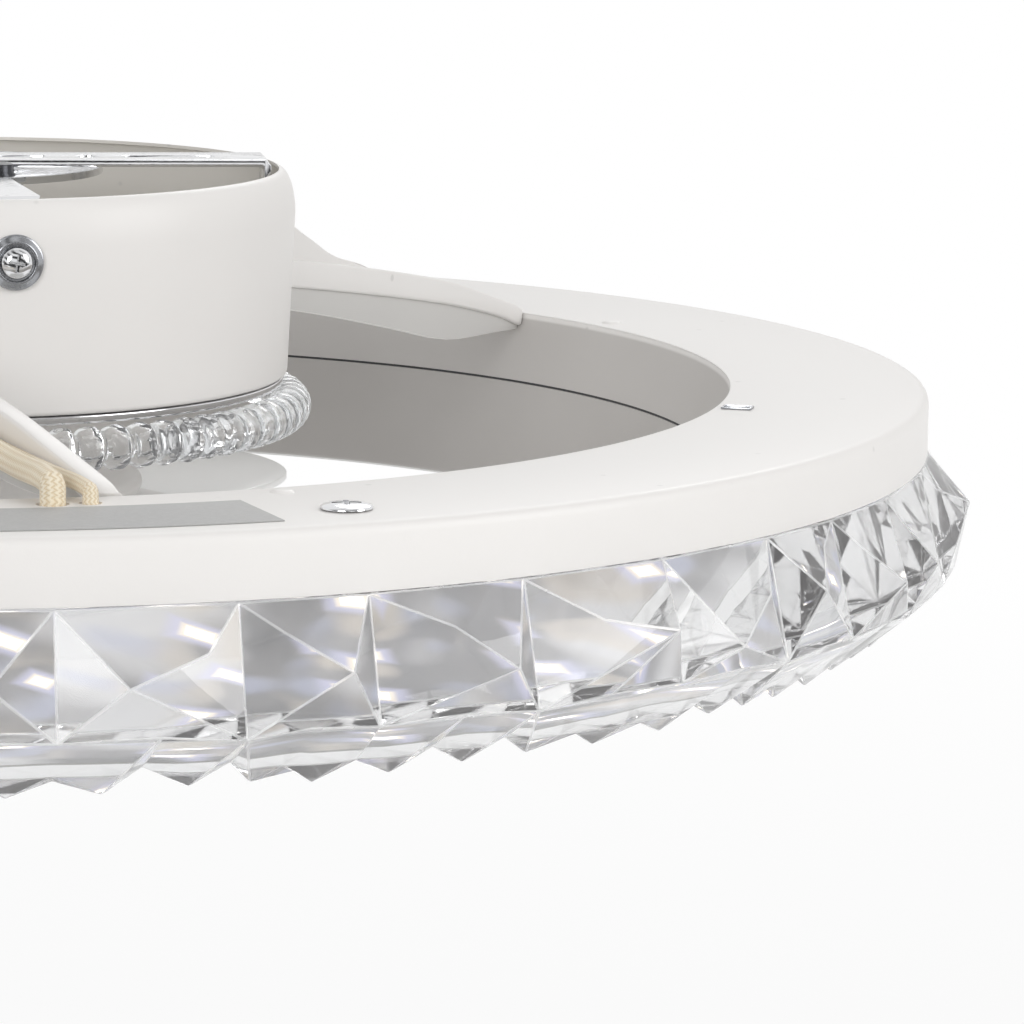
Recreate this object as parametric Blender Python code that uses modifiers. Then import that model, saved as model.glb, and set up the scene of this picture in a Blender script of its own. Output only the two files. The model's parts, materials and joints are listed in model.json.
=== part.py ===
# A flush ceiling fan inside a faceted crystal light ring, hung from a strap on the ceiling.
# Lengths are in metres. The ceiling plane is z = 0 and the fan hangs below it on the Z axis.
# A "rise" is a height above the top plate of the light ring, and a "depth" is one below it.

import math

import bmesh
import bpy
from mathutils import Matrix, Vector
from mathutils.geometry import interpolate_bezier

# Gaps and overruns
FIT_GAP = 0.0003
CUT_OVERRUN = 0.0020
MERGE_DISTANCE = 0.00001
SHARP_ANGLE = math.radians(32.0)
SMALL_STEPS = 12

# Canopy drum
CANOPY_HEIGHT = 0.0530
CANOPY_RADIUS = 0.0866
CANOPY_TAPER = 0.0020
CANOPY_LIP = 0.0029
CANOPY_SHEET = 0.0012
CANOPY_SHOULDER = 0.0031
CANOPY_FOOT_CORNER = 0.0014
CANOPY_FOOT_RISE = 0.0006
CANOPY_STEPS = 48

# Strap and cross plate under the ceiling
STRAP_PROUD = 0.0026
STRAP_WIDTH = 0.0210
STRAP_SHEET = 0.0018
STRAP_TAB_GAP = 0.0056
STRAP_TAB_BELOW_SCREW = 0.0076
STRAP_SLOT_WIDTH = 0.0046
STRAP_LONG_SLOT_START = 0.0420
STRAP_LONG_SLOT_LENGTH = 0.0240
STRAP_SHORT_SLOT_START = 0.0100
STRAP_SHORT_SLOT_LENGTH = 0.0130
STRAP_HOLE_POSITION = 0.0330
STRAP_HOLE_RADIUS = 0.0030
PLATE_RADIUS = 0.0370
PLATE_BAR_WIDTH = 0.0150
PLATE_STEP = 0.0002
CROSS_ANGLE = -81.0
NIPPLE_RADIUS = 0.0050
NIPPLE_WALL = 0.0014
NIPPLE_LENGTH = 0.0210
BORE_CLEARANCE = 0.0005
NUT_ACROSS = 0.0150
NUT_HEIGHT = 0.0040
STUD_RADIUS = 0.0040
STUD_ACROSS = 0.0100
STUD_BACK = 0.0162
STUD_HEAD_OVERHANG = 0.0022
STUD_HEAD_HEIGHT = 0.0035

# Side screws of the canopy and the cup washers under them
SCREW_DROP = 0.0174
SCREW_HEAD_RADIUS = 0.0040
SCREW_HEAD_HEIGHT = 0.0026
SCREW_SHANK_RADIUS = 0.0020
SCREW_SHANK_LENGTH = 0.0120
WASHER_RADIUS = 0.0068
WASHER_HEIGHT = 0.0020

# Light ring
RING_RADIUS = 0.2500
RING_FACE_WIDTH = 0.0509
RING_SHEET = 0.0012
BAND_HEIGHT = 0.0151
BAND_CORNER = 0.0022
SEAM_INSET = 0.0048
SEAM_DEPTH = 0.0192
RING_STEPS = 64

# Milky light cover under the ring
COVER_INSET = 0.0069
COVER_HEIGHT = 0.0275
COVER_SHEET = 0.0018
COVER_LIP_DROP = 0.0012

# Lamp board inside the ring
BOARD_OUTER_GAP = 0.0085
BOARD_INNER_GAP = 0.0094
BOARD_DROP = 0.0024
BOARD_SHEET = 0.0012

# Crystal ring
CELL_ANGLES = (9.1, 6.8, 8.9, 9.4, 8.7, 6.9, 8.0, 9.6, 7.6, 7.4, 7.6)
CRYSTAL_START_ANGLE = -85.6
CRYSTAL_REPEATS = 4
CRYSTAL_OVERHANG = 0.0112
CRYSTAL_HEIGHT = 0.0422
CRYSTAL_NECK_HEIGHT = 0.0100
CRYSTAL_NECK_GAP = 0.0006
CRYSTAL_NECK_WIDTH = 0.0042
GIRDLE_OUT_SHARE = 0.61
GIRDLE_DEPTH_SHARE = 0.665
TIP_IN_SHARE = 0.90
NOTCH_IN_SHARE = 0.54
NOTCH_DEPTH_SHARE = 0.885
BELLY_IN_SHARE = 0.25
BELLY_DEPTH_SHARE = 0.60
FOOT_IN_SHARE = 1.34
FOOT_DEPTH_SHARE = 0.82
LEDGE_SHARE = 0.03
APEX_OFFSET_SHARES = (0.36, 0.74, 0.80, 0.88, 0.42, 0.30, 0.62, 0.25, 0.70, 0.45, 0.58)
APEX_DEPTH_SHARES = (0.55, 0.52, 0.62, 0.50, 0.74, 0.44, 0.62, 0.60, 0.38, 0.66, 0.52)
SPUR_OFFSET_SHARES = (0.80, 0.30, 0.48, 0.44, 0.80, 0.70, 0.28, 0.66, 0.30, 0.82, 0.22)
SPUR_DEPTH_SHARES = (0.34, 0.22, 0.28, 0.36, 0.40, 0.18, 0.30, 0.26, 0.20, 0.34, 0.28)
TIP_SWAY_SHARES = (0.04, -0.05, 0.02, -0.03, 0.05, -0.02, 0.03, -0.04, 0.01, 0.05, -0.05)

# Bead ring and the polished tray over it
TRAY_WIDTH = 0.0138
TRAY_EDGE_GAP = 0.0008
TRAY_SHEET = 0.0021
BEAD_COUNT = 76
BEAD_RADIUS = 0.0050
BEAD_OUTSET = 0.0003
BEAD_WAIST_SHARE = 0.80
BEAD_SIDES = 6

# Motor
FLANGE_RADIUS = 0.0400
FLANGE_SHEET = 0.0026
SHAFT_RADIUS = 0.0085
SHAFT_WALL = 0.0030
SHAFT_PROUD = 0.0050
SHAFT_NUT_ACROSS = 0.0260
SHAFT_NUT_HEIGHT = 0.0050
BEARING_WALL = 0.0045
BEARING_HEIGHT = 0.0050
RUNNING_GAP = 0.0003
SHELL_GAP = 0.0035
SHELL_HEIGHT = 0.0308
SHELL_SHEET = 0.0024
SHELL_NECK_RADIUS = 0.0384
SHELL_WALL_RADIUS = 0.0437
SHELL_RIM_RADIUS = 0.0470
SHELL_RIM_HEIGHT = 0.0120
SHELL_FOOT_HEIGHT = 0.0038
MOTOR_STEPS = 32
STATOR_GAP = 0.0030
STATOR_RIM = 0.0165
STATOR_HEIGHT = 0.0150
STATOR_TEETH = 12
STATOR_TOOTH_SHARE = 0.45

# Blades
BLADE_COUNT = 5
BLADE_FLANGE_RADIUS = 0.0620
BLADE_FLANGE_SHEET = 0.0022
BLADE_SHEET = 0.0022
BLADE_ROOT_RADIUS = 0.0480
BLADE_TIP_GAP = 0.0204
BLADE_DROP = 0.0048
BLADE_PITCH_RISE = 0.0021
BLADE_BEND_LENGTH = 0.0200
BLADE_REACH_SHARES = (-1.0, 0.0, 0.17, 0.363, 0.557, 0.705, 0.841, 0.932, 1.0)
BLADE_LEADING_ANGLES = (38.0, 37.0, 37.5, 40.0, 43.5, 47.8, 54.5, 61.0, 68.0)
BLADE_TRAILING_ANGLES = (78.0, 84.0, 89.0, 91.0, 90.5, 88.5, 85.0, 81.0, 75.5)
BLADE_CHORD_STEPS = 4
BLADE_GRID_HALF = 0.5
BLADE_SCREW_INSET = 0.0070
BLADE_SCREW_ANGLE = 60.0
BLADE_SCREW_RADIUS = 0.0018
BLADE_SCREW_HEAD_RADIUS = 0.0038
BLADE_SCREW_HEAD_HEIGHT = 0.0020
CAP_INSET = 0.0180
CAP_HEIGHT = 0.0158
CAP_SHEET = 0.0020

# Arms from the canopy to the ring
ARM_ANGLES = (37.3, 158.0, 279.5)
ARM_NAMES = ("right", "left", "front")
ARM_SWEEP = 32.0
ARM_WIDTH = 0.0056
ARM_EDGE = 0.0008
ARM_RISE = 0.0285
ARM_STATION_SHARES = (0.0, 0.20, 0.45, 0.67, 0.88, 0.97, 1.0)
ARM_TOP_SHARES = (1.0, 0.860, 0.667, 0.470, 0.205, 0.085, 0.008)
ARM_LOW_SHARES = (0.744, 0.604, 0.418, 0.239, 0.025, -0.105, -0.140)
WEB_LOW_SHARES = (0.537, 0.358, 0.112, -0.105, -0.147, -0.165, -0.172)
WEB_WIDTH = 0.0026
GUSSET_RISE = 0.0388
GUSSET_LENGTH = 0.0510
GUSSET_STATION_SHARES = (0.0, 0.145, 0.276, 0.40, 0.543, 0.723, 0.851, 1.0)
GUSSET_SHARES = (1.0, 0.902, 0.825, 0.745, 0.675, 0.621, 0.572, 0.500)

# Sleeved wires beside the front arm and their holes: a thin inner sleeve, then a thick outer one
SLEEVE_NAMES = ("inner", "outer")
SLEEVE_RADII = (0.0018, 0.0029)
SLEEVE_STATION_SHARES = (0.28, 0.42, 0.56, 0.69, 0.80, 0.88)
SLEEVE_RISES = ((0.0160, 0.0120, 0.0085, 0.0060, 0.0043, 0.0034), (0.0180, 0.0145, 0.0110, 0.0082, 0.0062, 0.0053))
SLEEVE_LANES = ((0.0051, 0.0051, 0.0051, 0.0051, 0.0051, 0.0053), (0.0104, 0.0104, 0.0106, 0.0112, 0.0121, 0.0132))
SLEEVE_WALL_RISE = 0.0225
SLEEVE_TURN = 6.0
SLEEVE_BOX_RISE = 0.0130
SLEEVE_BOX_INSET = 0.0050
SLEEVE_SPACING = 0.0096
SLEEVE_HOLE_MARGIN = 0.0006
WIRE_HOLE_MARGIN = 0.0008
WIRE_HOLE_INSET = 0.0084
WIRE_HOLE_ANGLES = (277.8, 275.5)

# Screws through the ring's top plate
RING_SCREW_ANGLES = (-68.9, 111.1)
RING_SCREW_INSET = 0.0183
RING_SCREW_RADIUS = 0.0019
RING_SCREW_LENGTH = 0.0052
RING_SCREW_HEAD_RADIUS = 0.0059
RING_SCREW_HEAD_HEIGHT = 0.0013

# Boxes inside the canopy, with their length and width as shares of its radius
DRIVER_SHARES = (0.90, 0.38)
DRIVER_HEIGHT = 0.0210
CONTROLLER_SHARES = (0.65, 0.35)
CONTROLLER_HEIGHT = 0.0180
BOX_OFFSET_SHARE = 0.45
BOX_CORNER = 0.0020

# Places that follow from the sizes above
RING_PLANE_DROP = STRAP_PROUD + CANOPY_HEIGHT + CANOPY_FOOT_RISE
CANOPY_FOOT_RADIUS = CANOPY_RADIUS - CANOPY_TAPER
STRAP_REACH = CANOPY_RADIUS - CANOPY_SHEET - STRAP_TAB_GAP
DRIVER_SIZE = (CANOPY_RADIUS * DRIVER_SHARES[0], CANOPY_RADIUS * DRIVER_SHARES[1], DRIVER_HEIGHT)
CONTROLLER_SIZE = (CANOPY_RADIUS * CONTROLLER_SHARES[0], CANOPY_RADIUS * CONTROLLER_SHARES[1], CONTROLLER_HEIGHT)
BOX_OFFSET = CANOPY_RADIUS * BOX_OFFSET_SHARE
RING_INNER_RADIUS = RING_RADIUS - RING_FACE_WIDTH
SEAM_RADIUS = RING_INNER_RADIUS - SEAM_INSET
COVER_INNER_RADIUS = SEAM_RADIUS - COVER_INSET
BEARING_RADIUS = SHAFT_RADIUS + BEARING_WALL + FIT_GAP
BLADE_TIP_RADIUS = COVER_INNER_RADIUS - BLADE_TIP_GAP
CANOPY_FLOOR = CANOPY_FOOT_RISE + CANOPY_SHEET
FLANGE_TOP_DEPTH = FIT_GAP - CANOPY_FOOT_RISE
SHELL_TOP_DEPTH = FLANGE_TOP_DEPTH + FLANGE_SHEET + SHELL_GAP
SHELL_FOOT_DEPTH = SHELL_TOP_DEPTH + SHELL_HEIGHT
BLADE_FLANGE_DEPTH = SHELL_FOOT_DEPTH + FIT_GAP
BLADE_TOP_DEPTH = BLADE_FLANGE_DEPTH + BLADE_FLANGE_SHEET + FIT_GAP
CRYSTAL_TOP_DEPTH = BAND_HEIGHT + FIT_GAP


def level(rise):
    return rise - RING_PLANE_DROP


def around(radius, degrees, height):
    angle = math.radians(degrees)
    return Vector((radius * math.cos(angle), radius * math.sin(angle), height))


def clear_scene():
    for item in list(bpy.data.objects):
        bpy.data.objects.remove(item, do_unlink=True)


def new_collection(name):
    collection = bpy.data.collections.new(name)
    bpy.context.scene.collection.children.link(collection)
    return collection


def make_material(name, color, roughness, metallic, alpha):
    item = bpy.data.materials.new(name)
    item.use_nodes = True
    shader = item.node_tree.nodes["Principled BSDF"]
    shader.inputs["Base Color"].default_value = (*color, 1.0)
    shader.inputs["Roughness"].default_value = roughness
    shader.inputs["Metallic"].default_value = metallic
    shader.inputs["Alpha"].default_value = alpha
    item.diffuse_color = (*color, alpha)
    return item


def add_part(name, mesh, material, smooth):
    item = bpy.data.objects.new(name, mesh)
    mesh.materials.clear()
    mesh.materials.append(material)
    if smooth:
        mesh.shade_smooth()
        mesh.set_sharp_from_angle(angle=SHARP_ANGLE)
    PARTS.objects.link(item)
    return item


def add_cutter(name, mesh):
    item = bpy.data.objects.new(name, mesh)
    CUTTERS.objects.link(item)
    item.hide_render = True
    item.display_type = "WIRE"
    return item


def mesh_of(work, name):
    bmesh.ops.remove_doubles(work, verts=work.verts, dist=MERGE_DISTANCE)
    bmesh.ops.recalc_face_normals(work, faces=work.faces)
    mesh = bpy.data.meshes.new(name)
    work.to_mesh(mesh)
    work.free()
    return mesh


def evaluated_mesh(item, name):
    # The finished mesh of an object with its modifiers or bevel, with the caps welded on.
    bpy.context.view_layer.update()
    graph = bpy.context.evaluated_depsgraph_get()
    mesh = bpy.data.meshes.new_from_object(item.evaluated_get(graph))
    work = bmesh.new()
    work.from_mesh(mesh)
    bpy.data.objects.remove(item, do_unlink=True)
    bpy.data.meshes.remove(mesh)
    return mesh_of(work, name)


def turned_mesh(name, outline, steps, closed=True):
    # The outline runs down the outside and back up the inside.
    # One that is open starts and ends on the axis.
    count = len(outline)
    mesh = bpy.data.meshes.new(name)
    points = [(radius, 0.0, height) for radius, height in outline]
    last = count if closed else count - 1
    mesh.from_pydata(points, [(index, (index + 1) % count) for index in range(last)], [])
    item = bpy.data.objects.new(name, mesh)
    PARTS.objects.link(item)
    screw = item.modifiers.new("turn", "SCREW")
    screw.axis = "Z"
    screw.angle = math.tau
    screw.steps = steps
    screw.render_steps = steps
    screw.use_merge_vertices = True
    screw.merge_threshold = MERGE_DISTANCE
    return evaluated_mesh(item, name)


def turned(name, outline, steps, material, closed=True):
    return add_part(name, turned_mesh(name, outline, steps, closed), material, True)


def tube(name, outer, inner, top, bottom, steps, material):
    outline = [(outer, top), (outer, bottom), (inner, bottom), (inner, top)]
    return turned(name, outline, steps, material)


def flat_mesh(name, outlines, low, high):
    # Closed outlines in the XY plane, filled and thickened. Inner outlines become holes.
    curve = bpy.data.curves.new(name, "CURVE")
    curve.dimensions = "2D"
    curve.fill_mode = "BOTH"
    curve.extrude = (high - low) / 2
    for outline in outlines:
        spline = curve.splines.new("POLY")
        spline.points.add(len(outline) - 1)
        for point, (x, y) in zip(spline.points, outline):
            point.co = (x, y, 0.0, 1.0)
        spline.use_cyclic_u = True
    item = bpy.data.objects.new(name, curve)
    PARTS.objects.link(item)
    mesh = evaluated_mesh(item, name)
    mesh.transform(Matrix.Translation((0.0, 0.0, (low + high) / 2)))
    return mesh


def arc(x, y, radius, start, end, steps):
    points = []
    for index in range(steps + 1):
        angle = math.radians(start + (end - start) * index / steps)
        points.append((x + radius * math.cos(angle), y + radius * math.sin(angle)))
    return points


def rod_mesh(name, radius, start, end, sides, far_radius=None):
    # A round bar or a cone that runs from one point to another.
    axis = end - start
    turn = axis.to_track_quat("Z", "Y").to_matrix().to_4x4()
    work = bmesh.new()
    bmesh.ops.create_cone(
        work,
        cap_ends=True,
        segments=sides,
        radius1=radius,
        radius2=radius if far_radius is None else far_radius,
        depth=axis.length,
        matrix=Matrix.Translation((start + end) / 2) @ turn,
    )
    return mesh_of(work, name)


def combine(item, name, mesh, operation="DIFFERENCE"):
    tool = add_cutter(name, mesh)
    modifier = item.modifiers.new(name, "BOOLEAN")
    modifier.operation = operation
    modifier.solver = "EXACT"
    modifier.object = tool
    return tool


def drill(item, name, radius, start, end, sides=SMALL_STEPS):
    combine(item, name, rod_mesh(name, radius, start, end, sides))


def bevel(item, width):
    modifier = item.modifiers.new("edges", "BEVEL")
    modifier.width = width
    modifier.segments = 1
    modifier.limit_method = "ANGLE"


def aim(item, origin, direction):
    item.rotation_mode = "QUATERNION"
    item.rotation_quaternion = direction.to_track_quat("Z", "Y")
    item.location = origin


def screw_piece(name, head_radius, head_height, radius, length, material, origin, direction):
    # A domed head on its seat at zero, with the shank below it.
    outline = [
        (0.0, head_height),
        (head_radius * 0.62, head_height * 0.86),
        (head_radius, 0.0),
        (radius, 0.0),
        (radius, -length),
        (0.0, -length),
    ]
    item = turned(name, outline, SMALL_STEPS, material, closed=False)
    aim(item, origin, direction)
    return item


def hex_nut(name, across, height, bore, top, material):
    low = Vector((0.0, 0.0, top - height))
    high = Vector((0.0, 0.0, top))
    mesh = rod_mesh(name, across / 2 / math.cos(math.pi / 6), low, high, 6)
    item = add_part(name, mesh, material, False)
    over = Vector((0.0, 0.0, CUT_OVERRUN))
    drill(item, f"{name}_bore", bore, low - over, high + over, 16)
    return item


def strap_mesh(name, width, top, foot):
    # An upside-down U: a flat bar along X with both ends bent down.
    inner = STRAP_REACH - STRAP_SHEET
    corner = STRAP_SHEET / 2
    bend = STRAP_SHEET * 0.8
    outline = [
        (-STRAP_REACH, foot),
        (-inner, foot),
        (-inner, top - STRAP_SHEET - corner),
        (-inner + corner, top - STRAP_SHEET),
        (inner - corner, top - STRAP_SHEET),
        (inner, top - STRAP_SHEET - corner),
        (inner, foot),
        (STRAP_REACH, foot),
        (STRAP_REACH, top - bend),
        (STRAP_REACH - bend, top),
        (-STRAP_REACH + bend, top),
        (-STRAP_REACH, top - bend),
    ]
    mesh = flat_mesh(name, [outline], -width / 2, width / 2)
    mesh.transform(Matrix.Rotation(math.pi / 2, 4, "X"))
    return mesh


def make_strap(material):
    foot = -SCREW_DROP - STRAP_TAB_BELOW_SCREW
    item = add_part("ceiling_strap", strap_mesh("ceiling_strap", STRAP_WIDTH, 0.0, foot), material, False)
    low = -STRAP_SHEET - CUT_OVERRUN
    high = CUT_OVERRUN
    for side, label in ((-1, "left"), (1, "right")):
        for kind, start, length in (
            ("long", STRAP_LONG_SLOT_START, STRAP_LONG_SLOT_LENGTH),
            ("short", STRAP_SHORT_SLOT_START, STRAP_SHORT_SLOT_LENGTH),
        ):
            radius = STRAP_SLOT_WIDTH / 2
            near = start + radius
            far = start + length - radius
            outline = arc(near, 0.0, radius, 90.0, 270.0, 5) + arc(far, 0.0, radius, -90.0, 90.0, 5)
            outline = [(x * side, y) for x, y in outline]
            name = f"{kind}_slot_{label}"
            combine(item, name, flat_mesh(name, [outline], low, high))
        start = Vector((side * STRAP_HOLE_POSITION, 0.0, low))
        end = Vector((side * STRAP_HOLE_POSITION, 0.0, high))
        drill(item, f"strap_hole_{label}", STRAP_HOLE_RADIUS, start, end)
        start = Vector((side * (STRAP_REACH - STRAP_SHEET - CUT_OVERRUN), 0.0, -SCREW_DROP))
        end = Vector((side * (STRAP_REACH + CUT_OVERRUN), 0.0, -SCREW_DROP))
        drill(item, f"tab_hole_{label}", SCREW_SHANK_RADIUS + BORE_CLEARANCE, start, end)
    start = Vector((0.0, 0.0, low))
    end = Vector((0.0, 0.0, high))
    drill(item, "strap_bore", NIPPLE_RADIUS + BORE_CLEARANCE, start, end, 20)


def make_cross_plate(material):
    top = -STRAP_SHEET - FIT_GAP
    foot = -SCREW_DROP - STRAP_TAB_BELOW_SCREW
    bar = strap_mesh("cross_plate", PLATE_BAR_WIDTH, top - PLATE_STEP, foot)
    bar.transform(Matrix.Rotation(math.radians(CROSS_ANGLE), 4, "Z"))
    item = add_part("cross_plate", bar, material, False)
    disc_low = Vector((0.0, 0.0, top - STRAP_SHEET))
    disc_high = Vector((0.0, 0.0, top))
    combine(item, "plate_disc", rod_mesh("plate_disc", PLATE_RADIUS, disc_low, disc_high, 40), "UNION")
    over = Vector((0.0, 0.0, CUT_OVERRUN))
    drill(item, "plate_bore", NIPPLE_RADIUS + BORE_CLEARANCE, disc_low - over, disc_high + over, 20)
    for side, label in ((-1, "back"), (1, "front")):
        shift = Vector((side * STUD_ACROSS, -side * STUD_BACK, 0.0))
        radius = STUD_RADIUS + BORE_CLEARANCE
        drill(item, f"stud_hole_{label}", radius, disc_low - over + shift, disc_high + over + shift)
        inside = around(side * (STRAP_REACH - STRAP_SHEET - CUT_OVERRUN), CROSS_ANGLE, -SCREW_DROP)
        outside = around(side * (STRAP_REACH + CUT_OVERRUN), CROSS_ANGLE, -SCREW_DROP)
        drill(item, f"lug_hole_{label}", SCREW_SHANK_RADIUS + BORE_CLEARANCE, inside, outside)


def make_bracket_fixings(steel, dark):
    bore = NIPPLE_RADIUS - NIPPLE_WALL
    tube("hanger_nipple", NIPPLE_RADIUS, bore, 0.0, -NIPPLE_LENGTH, 20, dark)
    under_plate = -STRAP_SHEET * 2 - PLATE_STEP - FIT_GAP * 2
    hex_nut("nipple_nut", NUT_ACROSS, NUT_HEIGHT, NIPPLE_RADIUS + FIT_GAP, under_plate, steel)
    for side, label in ((-1, "back"), (1, "front")):
        outline = [
            (0.0, -FIT_GAP),
            (STUD_RADIUS, -FIT_GAP),
            (STUD_RADIUS, under_plate),
            (STUD_RADIUS + STUD_HEAD_OVERHANG, under_plate),
            (STUD_RADIUS + STUD_HEAD_OVERHANG, under_plate - STUD_HEAD_HEIGHT),
            (0.0, under_plate - STUD_HEAD_HEIGHT),
        ]
        item = turned(f"bracket_stud_{label}", outline, SMALL_STEPS, dark, closed=False)
        item.location = (side * STUD_ACROSS, -side * STUD_BACK, 0.0)


def wall_radius(height):
    # Outer radius of the canopy's side at a height, between its foot and its shoulder.
    low = level(CANOPY_FOOT_RISE) + CANOPY_FOOT_CORNER
    high = -STRAP_PROUD - CANOPY_SHOULDER * 2
    share = max(0.0, min(1.0, (height - low) / (high - low)))
    return CANOPY_FOOT_RADIUS + CANOPY_TAPER * share


def screw_places():
    return ((CROSS_ANGLE, "front"), (CROSS_ANGLE + 180.0, "back"))


def make_canopy(material):
    top = -STRAP_PROUD
    foot = level(CANOPY_FOOT_RISE)
    sheet = CANOPY_SHEET
    shoulder = CANOPY_SHOULDER
    corner = CANOPY_FOOT_CORNER
    mouth = CANOPY_RADIUS - CANOPY_LIP
    bore = SHAFT_RADIUS + FIT_GAP
    outline = [
        (mouth, top),
        (CANOPY_RADIUS - shoulder * 0.35, top - shoulder * 0.22),
        (CANOPY_RADIUS, top - shoulder),
        (CANOPY_RADIUS, top - shoulder * 2),
        (CANOPY_FOOT_RADIUS, foot + corner),
        (CANOPY_FOOT_RADIUS - corner, foot),
        (bore, foot),
        (bore, foot + sheet),
        (CANOPY_FOOT_RADIUS - sheet - corner, foot + sheet),
        (CANOPY_FOOT_RADIUS - sheet, foot + sheet + corner),
        (CANOPY_RADIUS - sheet, top - shoulder * 2),
        (CANOPY_RADIUS - sheet, top - shoulder),
        (mouth, top - sheet),
    ]
    item = turned("canopy_drum", outline, CANOPY_STEPS, material)
    reach = CANOPY_RADIUS + CUT_OVERRUN
    start = CANOPY_FOOT_RADIUS - sheet - CUT_OVERRUN
    for degrees, label in screw_places():
        inside = around(start, degrees, -SCREW_DROP)
        outside = around(reach, degrees, -SCREW_DROP)
        drill(item, f"screw_hole_{label}", SCREW_SHANK_RADIUS + BORE_CLEARANCE, inside, outside)
    for index, name in enumerate(SLEEVE_NAMES):
        inner, outer = sleeve_wall_points(index)
        over = (outer - inner).normalized() * CUT_OVERRUN
        drill(item, f"sleeve_hole_{name}", SLEEVE_RADII[index] + SLEEVE_HOLE_MARGIN, inner - over, outer + over)


def make_side_screws(steel):
    wall = wall_radius(-SCREW_DROP)
    bore = SCREW_SHANK_RADIUS + FIT_GAP
    lip = SCREW_HEAD_RADIUS + FIT_GAP * 2
    seat_height = WASHER_HEIGHT / 2
    for degrees, label in screw_places():
        outward = around(1.0, degrees, 0.0)
        seat = outward * (wall + FIT_GAP) + Vector((0.0, 0.0, -SCREW_DROP))
        outline = [
            (lip, WASHER_HEIGHT),
            (WASHER_RADIUS, WASHER_HEIGHT * 0.35),
            (WASHER_RADIUS, 0.0),
            (bore, 0.0),
            (bore, seat_height),
            (lip, seat_height),
        ]
        aim(turned(f"cup_washer_{label}", outline, SMALL_STEPS, steel), seat, outward)
        screw_piece(
            f"canopy_screw_{label}",
            SCREW_HEAD_RADIUS,
            SCREW_HEAD_HEIGHT,
            SCREW_SHANK_RADIUS,
            SCREW_SHANK_LENGTH,
            steel,
            seat + outward * (seat_height + FIT_GAP),
            outward,
        )


def make_boxes(plastic, dark):
    floor = level(CANOPY_FLOOR) + FIT_GAP
    for name, size, side, material in (
        ("light_driver", DRIVER_SIZE, -1, plastic),
        ("fan_controller", CONTROLLER_SIZE, 1, dark),
    ):
        work = bmesh.new()
        bmesh.ops.create_cube(work, size=1.0)
        bmesh.ops.scale(work, verts=work.verts, vec=size)
        item = add_part(name, mesh_of(work, name), material, False)
        item.location = (0.0, side * BOX_OFFSET, floor + size[2] / 2)
        bevel(item, BOX_CORNER)


def make_tray_and_beads(steel, clear):
    tray_radius = CANOPY_FOOT_RADIUS - TRAY_EDGE_GAP
    top = level(CANOPY_FOOT_RISE) - FIT_GAP
    tray_low = top - TRAY_SHEET
    tube("bead_tray", tray_radius, tray_radius - TRAY_WIDTH, top, tray_low, CANOPY_STEPS, steel)
    bpy.ops.mesh.primitive_torus_add(
        major_segments=BEAD_COUNT * 2,
        minor_segments=BEAD_SIDES,
        major_radius=CANOPY_FOOT_RADIUS + BEAD_OUTSET,
        minor_radius=BEAD_RADIUS,
    )
    torus = bpy.context.object
    work = bmesh.new()
    work.from_mesh(torus.data)
    bpy.data.objects.remove(torus, do_unlink=True)
    half_step = math.pi / BEAD_COUNT
    for vert in work.verts:
        turn = math.atan2(vert.co.y, vert.co.x)
        if round(turn / half_step) % 2 == 0:
            continue
        core = Vector((math.cos(turn), math.sin(turn), 0.0)) * (CANOPY_FOOT_RADIUS + BEAD_OUTSET)
        vert.co = core.lerp(vert.co, BEAD_WAIST_SHARE)
    item = add_part("bead_ring", mesh_of(work, "bead_ring"), clear, False)
    item.location.z = tray_low - FIT_GAP - BEAD_RADIUS


def make_motor(steel, white, dark):
    bore = SHAFT_RADIUS + FIT_GAP
    flange_top = level(-FLANGE_TOP_DEPTH)
    tube("motor_flange", FLANGE_RADIUS, bore, flange_top, flange_top - FLANGE_SHEET, MOTOR_STEPS, steel)
    nut_low = level(CANOPY_FLOOR) + FIT_GAP
    nut_top = nut_low + SHAFT_NUT_HEIGHT
    blade_top = level(-BLADE_TOP_DEPTH)
    shaft_foot = blade_top - SHAFT_PROUD
    shaft_bore = SHAFT_RADIUS - SHAFT_WALL
    tube("motor_shaft", SHAFT_RADIUS, shaft_bore, nut_top + SHAFT_PROUD, shaft_foot, 20, steel)
    hex_nut("shaft_nut", SHAFT_NUT_ACROSS, SHAFT_NUT_HEIGHT, bore, nut_top, steel)
    shell_top = level(-SHELL_TOP_DEPTH)
    low_bearing = blade_top + BEARING_HEIGHT - FIT_GAP
    for label, top in (("top", shell_top), ("low", low_bearing)):
        tube(f"bearing_{label}", BEARING_RADIUS, bore, top, top - BEARING_HEIGHT, 20, steel)
    make_stator(bore, shell_top - SHELL_SHEET - STATOR_GAP - BEARING_HEIGHT, dark)
    make_shell(shell_top, level(-SHELL_FOOT_DEPTH), white)
    flange_top = level(-BLADE_FLANGE_DEPTH)
    flange_low = flange_top - BLADE_FLANGE_SHEET
    hub = BEARING_RADIUS + RUNNING_GAP
    item = tube("blade_flange", BLADE_FLANGE_RADIUS, hub, flange_top, flange_low, MOTOR_STEPS, white)
    for index in range(BLADE_COUNT):
        low = around(blade_screw_circle(), blade_screw_turn(index), flange_low - CUT_OVERRUN)
        high = around(blade_screw_circle(), blade_screw_turn(index), flange_top + CUT_OVERRUN)
        drill(item, f"flange_hole_{index + 1}", BLADE_SCREW_RADIUS + FIT_GAP, low, high, 8)


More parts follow.
